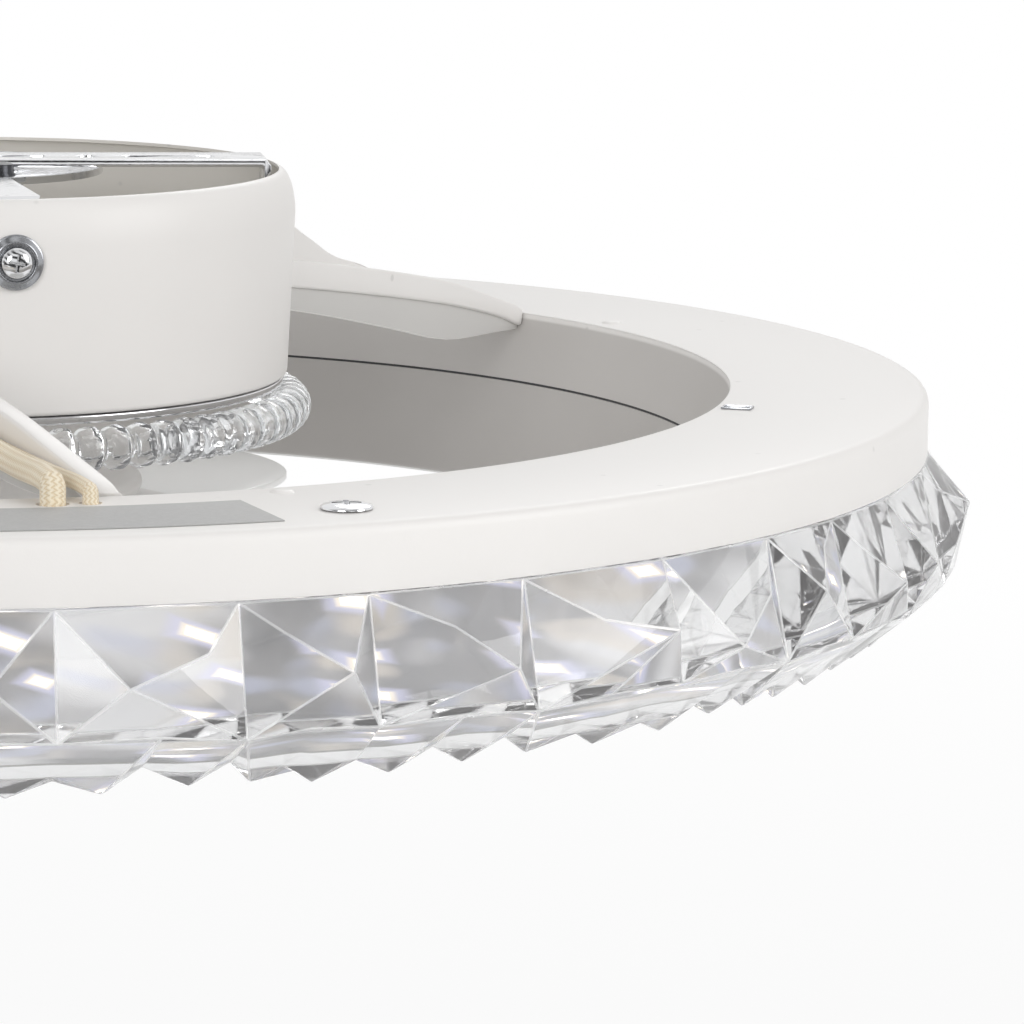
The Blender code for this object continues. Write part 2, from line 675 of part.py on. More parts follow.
def make_shell(top, foot, white):
    sheet = SHELL_SHEET
    hub = BEARING_RADIUS + RUNNING_GAP
    rim = foot + SHELL_RIM_HEIGHT * 0.68
    tuck = SHELL_RIM_RADIUS - (SHELL_RIM_RADIUS - SHELL_WALL_RADIUS) * 0.25
    foot_radius = SHELL_WALL_RADIUS - sheet
    outline = [
        (SHELL_NECK_RADIUS - sheet, top),
        (SHELL_NECK_RADIUS, top - sheet),
        (SHELL_WALL_RADIUS, foot + SHELL_RIM_HEIGHT),
        (SHELL_RIM_RADIUS, rim),
        (tuck, foot + SHELL_RIM_HEIGHT * 0.5),
        (SHELL_WALL_RADIUS, foot + SHELL_FOOT_HEIGHT),
        (foot_radius + sheet / 2, foot),
        (foot_radius - sheet, foot),
        (foot_radius - sheet, foot + SHELL_RIM_HEIGHT),
        (SHELL_NECK_RADIUS - sheet, top - sheet),
        (hub + sheet, top - sheet),
        (hub + sheet, top - sheet - BEARING_HEIGHT / 2),
        (hub, top - sheet - BEARING_HEIGHT / 2),
        (hub, top),
    ]
    turned("rotor_shell", outline, MOTOR_STEPS, white)


def make_stator(bore, top, dark):
    outer = SHELL_NECK_RADIUS - SHELL_SHEET - RUNNING_GAP * 2 - STATOR_GAP / 2
    core = outer - STATOR_RIM
    outline = []
    for index in range(STATOR_TEETH):
        pitch = 360.0 / STATOR_TEETH
        half = pitch * STATOR_TOOTH_SHARE / 2
        start = pitch * index - half
        end = pitch * index + half
        for radius, degrees in ((core, start), (outer, start), (outer, end), (core, end)):
            point = around(radius, degrees, 0.0)
            outline.append((point.x, point.y))
    hole = arc(0.0, 0.0, bore, 0.0, 345.0, 23)
    mesh = flat_mesh("stator_core", [outline, hole], top - STATOR_HEIGHT, top)
    add_part("stator_core", mesh, dark, False)


def blade_screw_circle():
    return BLADE_ROOT_RADIUS + BLADE_SCREW_INSET


def blade_screw_turn(index):
    return BLADE_SCREW_ANGLE + 360.0 * index / BLADE_COUNT


def between(values, share):
    # Reads a table of values at a share of its length.
    place = share * (len(values) - 1)
    index = min(int(place), len(values) - 2)
    return values[index] + (values[index + 1] - values[index]) * (place - index)


def blade_point(across, along):
    # Middle of the blade's thickness, from its leading edge to its trailing edge and root to tip.
    # A reach below zero is on the flat root, whose length doesn't change with the blade's.
    reach = between(BLADE_REACH_SHARES, along)
    lead = between(BLADE_LEADING_ANGLES, along)
    trail = between(BLADE_TRAILING_ANGLES, along)
    start = BLADE_FLANGE_RADIUS + FIT_GAP
    span = start - BLADE_ROOT_RADIUS if reach < 0.0 else BLADE_TIP_RADIUS - start
    radius = start + span * reach
    bend = max(0.0, min(1.0, (radius - start) / BLADE_BEND_LENGTH))
    height = level(-BLADE_TOP_DEPTH) - BLADE_SHEET / 2 - BLADE_DROP * bend
    height += BLADE_PITCH_RISE * bend * (1.0 - across * 2)
    height += BLADE_PITCH_RISE * bend * math.sin(math.pi * across) / 2
    return around(radius, lead + (trail - lead) * across, height)


def make_blades(white, steel):
    root_top = level(-BLADE_TOP_DEPTH)
    rows = len(BLADE_REACH_SHARES) - 1
    for index in range(BLADE_COUNT):
        name = f"fan_blade_{index + 1}"
        turn = Matrix.Rotation(math.tau * index / BLADE_COUNT, 4, "Z")
        work = bmesh.new()
        bmesh.ops.create_grid(work, x_segments=BLADE_CHORD_STEPS, y_segments=rows, size=BLADE_GRID_HALF)
        for vert in work.verts:
            vert.co = turn @ blade_point(vert.co.x + BLADE_GRID_HALF, vert.co.y + BLADE_GRID_HALF)
        item = add_part(name, mesh_of(work, name), white, True)
        thick = item.modifiers.new("thickness", "SOLIDIFY")
        thick.thickness = BLADE_SHEET
        thick.offset = 0.0
        degrees = blade_screw_turn(index)
        low = around(blade_screw_circle(), degrees, root_top - BLADE_SHEET - CUT_OVERRUN)
        high = around(blade_screw_circle(), degrees, root_top + CUT_OVERRUN)
        drill(item, f"blade_hole_{index + 1}", BLADE_SCREW_RADIUS + FIT_GAP, low, high, 8)
        screw_piece(
            f"blade_screw_{index + 1}",
            BLADE_SCREW_HEAD_RADIUS,
            BLADE_SCREW_HEAD_HEIGHT,
            BLADE_SCREW_RADIUS,
            BLADE_SHEET + FIT_GAP * 2 + BLADE_FLANGE_SHEET,
            steel,
            around(blade_screw_circle(), degrees, root_top - BLADE_SHEET - FIT_GAP),
            Vector((0.0, 0.0, -1.0)),
        )


def make_cap(white):
    radius = BLADE_FLANGE_RADIUS - CAP_INSET
    top = level(-BLADE_FLANGE_DEPTH) - BLADE_FLANGE_SHEET - FIT_GAP
    low = top - CAP_HEIGHT
    inside = low + CAP_SHEET
    outline = [
        (0.0, inside),
        (radius * 0.58, inside + CAP_HEIGHT * 0.06),
        (radius * 0.86, inside + CAP_HEIGHT * 0.30),
        (radius - CAP_SHEET, top),
        (radius, top),
        (radius, low + CAP_HEIGHT * 0.60),
        (radius * 0.92, low + CAP_HEIGHT * 0.32),
        (radius * 0.62, low + CAP_HEIGHT * 0.06),
        (0.0, low),
    ]
    turned("hub_cap", outline, MOTOR_STEPS, white, closed=False)


def arm_path(degrees):
    start = around(CANOPY_FOOT_RADIUS, degrees - ARM_SWEEP, 0.0)
    end = around(RING_INNER_RADIUS, degrees, 0.0)
    return start, end


def make_arms(material):
    # Each arm is a bar with a thinner web: above it a gusset at the root, and a rib along its underside.
    for degrees, label in zip(ARM_ANGLES, ARM_NAMES):
        start, end = arm_path(degrees)
        length = (end - start).length
        run_in = CANOPY_FOOT_RADIUS / 4
        top = arm_line(length, run_in, ARM_TOP_SHARES)
        low = arm_line(length, run_in, ARM_LOW_SHARES)
        item = add_part(f"arm_{label}", upright_mesh(f"arm_{label}", top + low[::-1], ARM_WIDTH), material, False)
        lay_arm(item, start, end)
        bevel(item, ARM_EDGE)
        web = [(-run_in, GUSSET_RISE)]
        for share, height in zip(GUSSET_STATION_SHARES, GUSSET_SHARES):
            web.append((GUSSET_LENGTH * share, GUSSET_RISE * height))
        middle = [(x, (high + foot) / 2) for (x, high), (_, foot) in zip(top, low) if x > GUSSET_LENGTH]
        web += middle + arm_line(length, run_in, WEB_LOW_SHARES)[::-1]
        name = f"web_{label}"
        tool = combine(item, name, upright_mesh(name, web, WEB_WIDTH), "UNION")
        lay_arm(tool, start, end)
        trim_arm(item, label)


def arm_line(length, run_in, shares):
    # One edge of an arm from inside the canopy's wall to past the ring's inner wall.
    points = [(length * share, ARM_RISE * rise) for share, rise in zip(ARM_STATION_SHARES, shares)]
    return [(-run_in, points[0][1])] + points[:-1] + [(length + SEAM_INSET, points[-1][1])]


def upright_mesh(name, outline, width):
    mesh = flat_mesh(name, [outline], -width / 2, width / 2)
    mesh.transform(Matrix.Rotation(math.pi / 2, 4, "X"))
    return mesh


def lay_arm(item, start, end):
    direction = end - start
    item.location = (start.x, start.y, level(0.0))
    item.rotation_euler.z = math.atan2(direction.y, direction.x)


def trim_arm(item, label):
    # Fits the arm's root to the canopy's side and its end to the ring's inner wall.
    low = level(CANOPY_FOOT_RISE) + CANOPY_FOOT_CORNER
    high = level(GUSSET_RISE) + CUT_OVERRUN
    slope = CANOPY_TAPER / (-STRAP_PROUD - CANOPY_SHOULDER * 2 - low)
    grow = 1.0 / math.cos(math.pi / CANOPY_STEPS)
    foot = (CANOPY_FOOT_RADIUS + FIT_GAP) * grow
    head = (CANOPY_FOOT_RADIUS + slope * (high - low) + FIT_GAP) * grow
    name = f"drum_side_{label}"
    mesh = rod_mesh(name, foot, Vector((0.0, 0.0, low)), Vector((0.0, 0.0, high)), CANOPY_STEPS, head)
    combine(item, name, mesh)
    lean = SEAM_INSET / SEAM_DEPTH
    low = level(-SEAM_DEPTH)
    high = level(GUSSET_RISE) + CUT_OVERRUN
    shrink = math.cos(math.pi / RING_STEPS)
    foot = (SEAM_RADIUS - FIT_GAP) * shrink
    head = (SEAM_RADIUS - FIT_GAP) * shrink + lean * (high - low)
    name = f"ring_inside_{label}"
    mesh = rod_mesh(name, foot, Vector((0.0, 0.0, low)), Vector((0.0, 0.0, high)), RING_STEPS, head)
    combine(item, name, mesh, "INTERSECT")


def sleeve_wall_points(index):
    # Where a sleeve passes the canopy's wall, just inside it and just outside it.
    degrees = ARM_ANGLES[2] - ARM_SWEEP - SLEEVE_TURN - math.degrees(SLEEVE_SPACING * index / CANOPY_RADIUS)
    height = level(SLEEVE_WALL_RISE)
    wall = wall_radius(height)
    return around(wall - CANOPY_SHEET * 2, degrees, height), around(wall + CANOPY_SHEET, degrees, height)


def sleeve_route(index):
    start, end = arm_path(ARM_ANGLES[2])
    along = (end - start).normalized()
    side = Vector((along.y, -along.x, 0.0))
    size = SLEEVE_RADII[index]
    inner, outer = sleeve_wall_points(index)
    face = -BOX_OFFSET - DRIVER_SIZE[1] / 2 - FIT_GAP
    across = -DRIVER_SIZE[0] / 2 + SLEEVE_BOX_INSET + (1 - index) * SLEEVE_SPACING
    box = Vector((across, face, level(SLEEVE_BOX_RISE)))
    outward = (outer - inner).normalized() * size * 2
    points = [box - Vector((0.0, size * step, 0.0)) for step in (0, 1, 2)]
    points += [inner - outward, inner, outer, outer + outward]
    for share, rise, lane in zip(SLEEVE_STATION_SHARES, SLEEVE_RISES[index], SLEEVE_LANES[index]):
        point = start.lerp(end, share) + side * lane
        point.z = level(rise)
        points.append(point)
    radius = RING_INNER_RADIUS + WIRE_HOLE_INSET
    degrees = WIRE_HOLE_ANGLES[index]
    points.append(around(radius - size * 0.8, degrees, level(size * 1.5)))
    points.append(around(radius, degrees, level(size * 0.3)))
    points.append(around(radius, degrees, level(-RING_SHEET)))
    points.append(around(radius, degrees, level(-RING_SHEET - BOARD_DROP) + FIT_GAP))
    return points


def smoothed(points, size):
    # A smooth curve through the route's own points, with shorter steps where they lie close.
    result = []
    count = len(points)
    for index in range(count - 1):
        first = points[index]
        second = points[index + 1]
        before = points[max(0, index - 1)]
        after = points[min(count - 1, index + 2)]
        span = (second - first).length
        lead = first + (second - before).normalized() * span / 3
        trail = second - (after - first).normalized() * span / 3
        steps = max(1, round(span / (size * 4)))
        result += interpolate_bezier(first, lead, trail, second, steps + 1)[:-1]
    result.append(points[-1])
    return result


def make_sleeves(material):
    for index, label in enumerate(SLEEVE_NAMES):
        name = f"wire_sleeve_{label}"
        curve = bpy.data.curves.new(name, "CURVE")
        curve.dimensions = "3D"
        curve.bevel_depth = SLEEVE_RADII[index]
        curve.bevel_resolution = 2
        curve.use_fill_caps = True
        route = smoothed(sleeve_route(index), SLEEVE_RADII[index])
        spline = curve.splines.new("POLY")
        spline.points.add(len(route) - 1)
        for point, place in zip(spline.points, route):
            point.co = (*place, 1.0)
        item = bpy.data.objects.new(name, curve)
        PARTS.objects.link(item)
        add_part(name, evaluated_mesh(item, name), material, True)


def make_ring_housing(material):
    top = level(0.0)
    sheet = RING_SHEET
    corner = BAND_CORNER
    outline = [
        (RING_INNER_RADIUS, top),
        (RING_RADIUS - corner, top),
        (RING_RADIUS - corner * 0.3, top - corner * 0.3),
        (RING_RADIUS, top - corner),
        (RING_RADIUS, top - BAND_HEIGHT),
        (RING_RADIUS - sheet, top - BAND_HEIGHT),
        (RING_RADIUS - sheet, top - corner),
        (RING_RADIUS - corner, top - sheet),
        (RING_INNER_RADIUS + sheet, top - sheet),
        (SEAM_RADIUS + sheet, top - SEAM_DEPTH),
        (SEAM_RADIUS, top - SEAM_DEPTH),
    ]
    item = turned("ring_housing", outline, RING_STEPS, material)
    for index, degrees in enumerate(RING_SCREW_ANGLES):
        radius = RING_SCREW_RADIUS + FIT_GAP
        drill_down(item, f"ring_screw_hole_{index + 1}", RING_RADIUS - RING_SCREW_INSET, degrees, radius)
    for name, degrees, size in zip(SLEEVE_NAMES, WIRE_HOLE_ANGLES, SLEEVE_RADII):
        drill_down(item, f"wire_hole_{name}", RING_INNER_RADIUS + WIRE_HOLE_INSET, degrees, size + WIRE_HOLE_MARGIN)


def drill_down(item, name, place, degrees, radius):
    low = around(place, degrees, level(-RING_SHEET - BOARD_DROP - BOARD_SHEET) - CUT_OVERRUN)
    high = around(place, degrees, level(0.0) + CUT_OVERRUN)
    drill(item, name, radius, low, high)


def make_lamp_board(material):
    outer = RING_RADIUS - BOARD_OUTER_GAP
    inner = RING_INNER_RADIUS + BOARD_INNER_GAP
    top = level(-RING_SHEET - BOARD_DROP)
    item = tube("lamp_board", outer, inner, top, top - BOARD_SHEET, RING_STEPS, material)
    for index, degrees in enumerate(RING_SCREW_ANGLES):
        radius = RING_SCREW_RADIUS + FIT_GAP
        drill_down(item, f"board_hole_{index + 1}", RING_RADIUS - RING_SCREW_INSET, degrees, radius)


def make_ring_screws(steel):
    for index, degrees in enumerate(RING_SCREW_ANGLES):
        screw_piece(
            f"ring_screw_{index + 1}",
            RING_SCREW_HEAD_RADIUS,
            RING_SCREW_HEAD_HEIGHT,
            RING_SCREW_RADIUS,
            RING_SCREW_LENGTH,
            steel,
            around(RING_RADIUS - RING_SCREW_INSET, degrees, level(0.0) + FIT_GAP),
            Vector((0.0, 0.0, 1.0)),
        )


def make_cover(material):
    top = level(-SEAM_DEPTH) - FIT_GAP
    foot = top - COVER_HEIGHT
    sheet = COVER_SHEET
    outer = RING_RADIUS - CRYSTAL_OVERHANG * FOOT_IN_SHARE - CRYSTAL_NECK_WIDTH / 2
    plate = foot - COVER_LIP_DROP
    outline = [
        (outer, plate + sheet),
        (outer, plate),
        (COVER_INNER_RADIUS + sheet, plate),
        (COVER_INNER_RADIUS, foot),
        (SEAM_RADIUS, top),
        (SEAM_RADIUS + sheet, top),
        (COVER_INNER_RADIUS + sheet * 2, plate + sheet),
    ]
    turned("light_cover", outline, RING_STEPS, material)


def crystal_columns():
    # Start angle, width and place in the repeating row of each cell, once round the ring.
    stretch = 360.0 / CRYSTAL_REPEATS / sum(CELL_ANGLES)
    columns = []
    angle = CRYSTAL_START_ANGLE
    for _ in range(CRYSTAL_REPEATS):
        for index, width in enumerate(CELL_ANGLES):
            columns.append((angle, width * stretch, index))
            angle += width * stretch
    return columns


def make_crystals(material):
    # A loft whose outer side is cut into unlike facets, two columns of corners to each cell.
    columns = crystal_columns()
    work = bmesh.new()
    rows = {name: [] for name in ("top", "ledge", "girdle", "notch", "tip", "foot", "neck", "liner", "belly")}
    neck_radius = RING_RADIUS - RING_SHEET - CRYSTAL_NECK_GAP
    liner_radius = neck_radius - CRYSTAL_NECK_WIDTH

    def corner(radius, degrees, depth):
        return work.verts.new(around(radius, degrees, level(-CRYSTAL_TOP_DEPTH - depth)))

    def outset(share):
        return RING_RADIUS + CRYSTAL_OVERHANG * share

    for angle, width, index in columns:
        sway = TIP_SWAY_SHARES[index]
        for half in (0, 1):
            here = angle + width * half / 2
            chord = math.cos(math.radians(width / 2)) if half else 1.0
            low_sway = sway * (0.7 - half * 1.6)
            rows["top"].append(corner(outset(LEDGE_SHARE) * chord, here, 0.0))
            rows["ledge"].append(corner(neck_radius * chord, here, -FIT_GAP))
            out = outset(GIRDLE_OUT_SHARE) + CRYSTAL_OVERHANG * LEDGE_SHARE * 3 * half
            lift = sway * 0.3 if half == 0 else LEDGE_SHARE
            depth = CRYSTAL_HEIGHT * (GIRDLE_DEPTH_SHARE - lift)
            rows["girdle"].append(corner(out, here + width * sway * half, depth))
            depth = CRYSTAL_HEIGHT * NOTCH_DEPTH_SHARE * (1.0 + low_sway)
            rows["notch"].append(corner(outset(-NOTCH_IN_SHARE), here, depth))
            depth = CRYSTAL_HEIGHT * (1.0 + low_sway / 3)
            rows["tip"].append(corner(outset(-TIP_IN_SHARE), here + width * (0.25 + sway), depth))
            rows["foot"].append(corner(outset(-FOOT_IN_SHARE), here, CRYSTAL_HEIGHT * FOOT_DEPTH_SHARE))
        rows["neck"].append(corner(neck_radius, angle, -CRYSTAL_NECK_HEIGHT))
        rows["liner"].append(corner(liner_radius, angle, -CRYSTAL_NECK_HEIGHT))
        belly = outset(-BELLY_IN_SHARE)
        rows["belly"].append(corner(belly, angle, CRYSTAL_HEIGHT * BELLY_DEPTH_SHARE))

    steps = len(rows["top"])
    for step in range(steps):
        after = (step + 1) % steps
        join_columns(work, rows, step, after)
    cells = len(columns)
    for cell, (angle, width, index) in enumerate(columns):
        left = cell * 2
        middle = left + 1
        right = (left + 2) % steps
        following = (cell + 1) % cells
        for first, second in (("neck", "liner"), ("liner", "belly")):
            corners = (
                rows[first][cell],
                rows[first][following],
                rows[second][following],
                rows[second][cell],
            )
            work.faces.new(corners)
        for wide, narrow in (("ledge", "neck"), ("foot", "belly")):
            work.faces.new((rows[wide][left], rows[wide][middle], rows[narrow][cell]))
            work.faces.new((rows[wide][middle], rows[narrow][following], rows[narrow][cell]))
            work.faces.new((rows[wide][middle], rows[wide][right], rows[narrow][following]))
        apex_share = APEX_DEPTH_SHARES[index] * GIRDLE_DEPTH_SHARE
        apex_turn = APEX_OFFSET_SHARES[index]
        spur_share = SPUR_DEPTH_SHARES[index] * GIRDLE_DEPTH_SHARE
        spur_turn = SPUR_OFFSET_SHARES[index]
        apex = corner(outset(1.0), angle + width * apex_turn, CRYSTAL_HEIGHT * apex_share)
        spur = corner(outset(spur_share * 2.4), angle + width * spur_turn, CRYSTAL_HEIGHT * spur_share)
        if spur_turn > apex_turn:
            fan_facets(work, rows, (left, middle, right), apex, spur)
        else:
            fan_facets(work, rows, (right, middle, left), apex, spur)
        work.faces.new((apex, rows["girdle"][left], rows["girdle"][middle]))
        work.faces.new((apex, rows["girdle"][middle], rows["girdle"][right]))
    add_part("crystal_ring", mesh_of(work, "crystal_ring"), material, False)


def join_columns(work, rows, step, after):
    # Faces between one column of corners and the next: the ledge and the pointed lower edge.
    top = rows["top"]
    ledge = rows["ledge"]
    girdle = rows["girdle"]
    notch = rows["notch"]
    tip = rows["tip"]
    foot = rows["foot"]
    work.faces.new((top[step], top[after], ledge[after], ledge[step]))
    work.faces.new((foot[step], foot[after], tip[step]))
    work.faces.new((foot[step], tip[step], notch[step]))
    work.faces.new((foot[after], notch[after], tip[step]))
    work.faces.new((girdle[step], notch[step], tip[step]))
    work.faces.new((girdle[step], tip[step], girdle[after]))
    work.faces.new((girdle[after], tip[step], notch[after]))


def fan_facets(work, rows, columns, apex, spur):
    # Facets round a cell's apex and spur. The spur lies towards the last of the three columns.
    near, middle, far = columns
    top = rows["top"]
    girdle = rows["girdle"]
    work.faces.new((top[near], girdle[near], apex))
    work.faces.new((top[near], apex, top[middle]))
    work.faces.new((top[middle], apex, spur))
    work.faces.new((top[middle], spur, top[far]))
    work.faces.new((top[far], spur, girdle[far]))
    work.faces.new((spur, apex, girdle[far]))


clear_scene()
PARTS = new_collection("crystal_ceiling_fan")
CUTTERS = new_collection("cutters")
steel_material = make_material("polished_steel", (0.78, 0.79, 0.80), 0.14, 1.0, 1.0)
dark_material = make_material("dark_steel", (0.09, 0.09, 0.10), 0.38, 1.0, 1.0)
white_material = make_material("white_enamel", (0.86, 0.85, 0.83), 0.38, 0.0, 1.0)
blade_material = make_material("white_plastic", (0.84, 0.84, 0.82), 0.30, 0.0, 1.0)
box_material = make_material("grey_plastic", (0.62, 0.62, 0.60), 0.45, 0.0, 1.0)
milky_material = make_material("milky_acrylic", (0.88, 0.87, 0.85), 0.45, 0.0, 1.0)
clear_material = make_material("clear_acrylic", (0.93, 0.94, 0.95), 0.04, 0.0, 0.35)
sleeve_material = make_material("braided_sleeve", (0.72, 0.62, 0.45), 0.85, 0.0, 1.0)
board_material = make_material("board_enamel", (0.90, 0.89, 0.84), 0.50, 0.0, 1.0)

make_strap(steel_material)
make_cross_plate(steel_material)
make_bracket_fixings(steel_material, dark_material)
make_canopy(white_material)
make_side_screws(steel_material)
make_boxes(blade_material, box_material)
make_tray_and_beads(steel_material, clear_material)
make_motor(steel_material, white_material, dark_material)
make_blades(blade_material, steel_material)
make_cap(white_material)
make_arms(white_material)
make_sleeves(sleeve_material)
make_ring_housing(white_material)
make_lamp_board(board_material)
make_ring_screws(steel_material)
make_cover(milky_material)
make_crystals(clear_material)
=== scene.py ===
import bpy
import bmesh
import json
from math import atan2, cos, hypot, pi, radians, sin, tau
from mathutils import Matrix, Vector


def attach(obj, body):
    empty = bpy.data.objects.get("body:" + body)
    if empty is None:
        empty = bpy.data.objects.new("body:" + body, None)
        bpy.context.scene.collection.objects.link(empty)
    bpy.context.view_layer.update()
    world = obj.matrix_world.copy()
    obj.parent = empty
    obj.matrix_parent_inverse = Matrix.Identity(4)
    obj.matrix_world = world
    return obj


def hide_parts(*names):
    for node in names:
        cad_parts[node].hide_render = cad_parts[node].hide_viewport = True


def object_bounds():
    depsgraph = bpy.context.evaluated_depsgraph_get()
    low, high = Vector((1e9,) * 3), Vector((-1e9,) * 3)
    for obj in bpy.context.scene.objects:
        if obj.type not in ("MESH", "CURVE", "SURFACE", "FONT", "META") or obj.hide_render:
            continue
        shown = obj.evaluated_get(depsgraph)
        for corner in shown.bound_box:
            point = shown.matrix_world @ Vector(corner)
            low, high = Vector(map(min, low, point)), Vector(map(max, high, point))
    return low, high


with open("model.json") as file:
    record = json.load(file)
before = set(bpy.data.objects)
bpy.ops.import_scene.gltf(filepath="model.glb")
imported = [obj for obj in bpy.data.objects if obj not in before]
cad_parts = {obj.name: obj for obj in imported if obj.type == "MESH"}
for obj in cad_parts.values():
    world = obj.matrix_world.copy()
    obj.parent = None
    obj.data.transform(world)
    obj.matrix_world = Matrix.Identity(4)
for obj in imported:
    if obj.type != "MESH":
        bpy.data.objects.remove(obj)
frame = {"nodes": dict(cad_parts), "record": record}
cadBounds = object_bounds()
nodes = frame["nodes"]
print("stage: frame loaded,", len(nodes), "nodes")

ringPlane = -0.0562   # height of the light ring's top face, in metres
weld = 0.000005       # points closer than this become one
upright = Vector((0.0, 0.0, 1.0))


def around(radius, degrees, height):
    turn = radians(degrees)
    return Vector((radius * cos(turn), radius * sin(turn), height))


def pieceName(node):
    # canopy_screw_front becomes canopyScrewFront
    first, *others = node.split("_")
    return first + "".join(word.capitalize() for word in others)


def objectMode():
    bpy.ops.object.mode_set(mode="OBJECT")


def clearSelection():
    if bpy.context.object and bpy.context.object.mode != "OBJECT":
        objectMode()
    bpy.ops.object.select_all(action="DESELECT")


def pick(item):
    clearSelection()
    item.select_set(True)
    bpy.context.view_layer.objects.active = item


def editMode(item, kind="FACE", everything=False):
    pick(item)
    bpy.ops.object.mode_set(mode="EDIT")
    bpy.ops.mesh.select_mode(type=kind)
    bpy.ops.mesh.select_all(action="SELECT" if everything else "DESELECT")


def applyAll(item):
    pick(item)
    for modifier in list(item.modifiers):
        bpy.ops.object.modifier_apply(modifier=modifier.name)


def settle(item, name):
    # the piece's place goes into its mesh, and its object stays at the origin
    item.name = name
    item.data.name = name
    pick(item)
    bpy.ops.object.transform_apply(location=True, rotation=True, scale=True)


def smoothEdges(item, degrees=32.0):
    pick(item)
    bpy.ops.object.shade_smooth_by_angle(angle=radians(degrees))


def bevelEdges(item, width, segments=2, sharpest=30.0):
    edge = item.modifiers.new("edge", "BEVEL")
    edge.width = width
    edge.segments = segments
    edge.limit_method = "ANGLE"
    edge.angle_limit = radians(sharpest)
    return edge


def tidyMesh(item):
    editMode(item, "VERT", everything=True)
    bpy.ops.mesh.remove_doubles(threshold=weld)
    bpy.ops.mesh.normals_make_consistent(inside=False)
    objectMode()


def eased(points):
    # an outline of (radius, height, roundness) points with its corners eased
    flat = [Vector((x, z)) for x, z, _ in points]
    result = []
    for index, point in enumerate(flat):
        size = points[index][2]
        if size == 0.0 or not 0 < index < len(flat) - 1:
            result.append(point)
            continue
        before, after = flat[index - 1] - point, flat[index + 1] - point
        first = point + before.normalized() * min(size, before.length * 0.48)
        last = point + after.normalized() * min(size, after.length * 0.48)
        for step in range(5):
            share = step / 4
            result.append(first.lerp(point, share).lerp(point.lerp(last, share), share))
    return [tuple(point) for point in result]


def newProfile(name, points):
    # one vertex, extruded along the outline
    clearSelection()
    bpy.ops.mesh.primitive_plane_add(size=0.001)
    item = bpy.context.object
    item.name = name
    editMode(item, "VERT", everything=True)
    bpy.ops.mesh.merge(type="CENTER")
    bpy.ops.transform.translate(value=(points[0][0], 0.0, points[0][1]))
    for before, after in zip(points, points[1:]):
        step = (after[0] - before[0], 0.0, after[1] - before[1])
        bpy.ops.mesh.extrude_region_move(TRANSFORM_OT_translate={"value": step})
    return item


def spinProfile(steps, angle=tau):
    bpy.ops.mesh.select_all(action="SELECT")
    bpy.ops.mesh.spin(steps=steps, angle=angle, center=(0.0, 0.0, 0.0), axis=(0.0, 0.0, 1.0))
    objectMode()


def lathe(name, points, steps):
    # spins an eased outline round the Z axis; one that starts off the axis is closed first
    item = newProfile(name, eased(points + points[:1] if points[0][0] else points))
    spinProfile(steps)
    tidyMesh(item)
    smoothEdges(item)
    return item


def placeAlong(item, place, direction):
    # a piece made along +Z is turned to point along a direction, then moved
    turn = upright.rotation_difference(direction.normalized())
    item.matrix_world = Matrix.Translation(place) @ turn.to_matrix().to_4x4()
    settle(item, item.name)


def newObject(name, data):
    item = bpy.data.objects.new(name, data)
    bpy.context.scene.collection.objects.link(item)
    return item


def copyOf(item, name):
    # a copy with its own mesh
    clearSelection()
    fresh = item.copy()
    fresh.data = item.data.copy()
    fresh.name = name
    bpy.context.scene.collection.objects.link(fresh)
    return fresh


def copiesOf(item, count):
    return [item] + [copyOf(item, item.name) for _ in range(count - 1)]


def joinAll(items, name):
    pick(items[0])
    for item in items:
        item.select_set(True)
    bpy.ops.object.join()
    settle(items[0], name)


def dress(item, material, node=None, body="fixture"):
    # a piece that stands for a CAD node takes the finish it is given, and that node is hidden
    item.data.materials.clear()
    item.data.materials.append(material)
    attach(item, body)
    if node:
        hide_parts(node)


def cutWith(item, tool, operation="DIFFERENCE"):
    cut = item.modifiers.new("cut", "BOOLEAN")
    cut.operation = operation
    cut.solver = "EXACT"
    cut.object = tool
    applyAll(item)
    bpy.data.objects.remove(tool, do_unlink=True)


def drill(item, place, radius, depth=0.006, direction=upright, sides=24):
    bpy.ops.mesh.primitive_cylinder_add(vertices=sides, radius=radius, depth=depth)
    tool = bpy.context.object
    placeAlong(tool, place, direction)
    cutWith(item, tool)


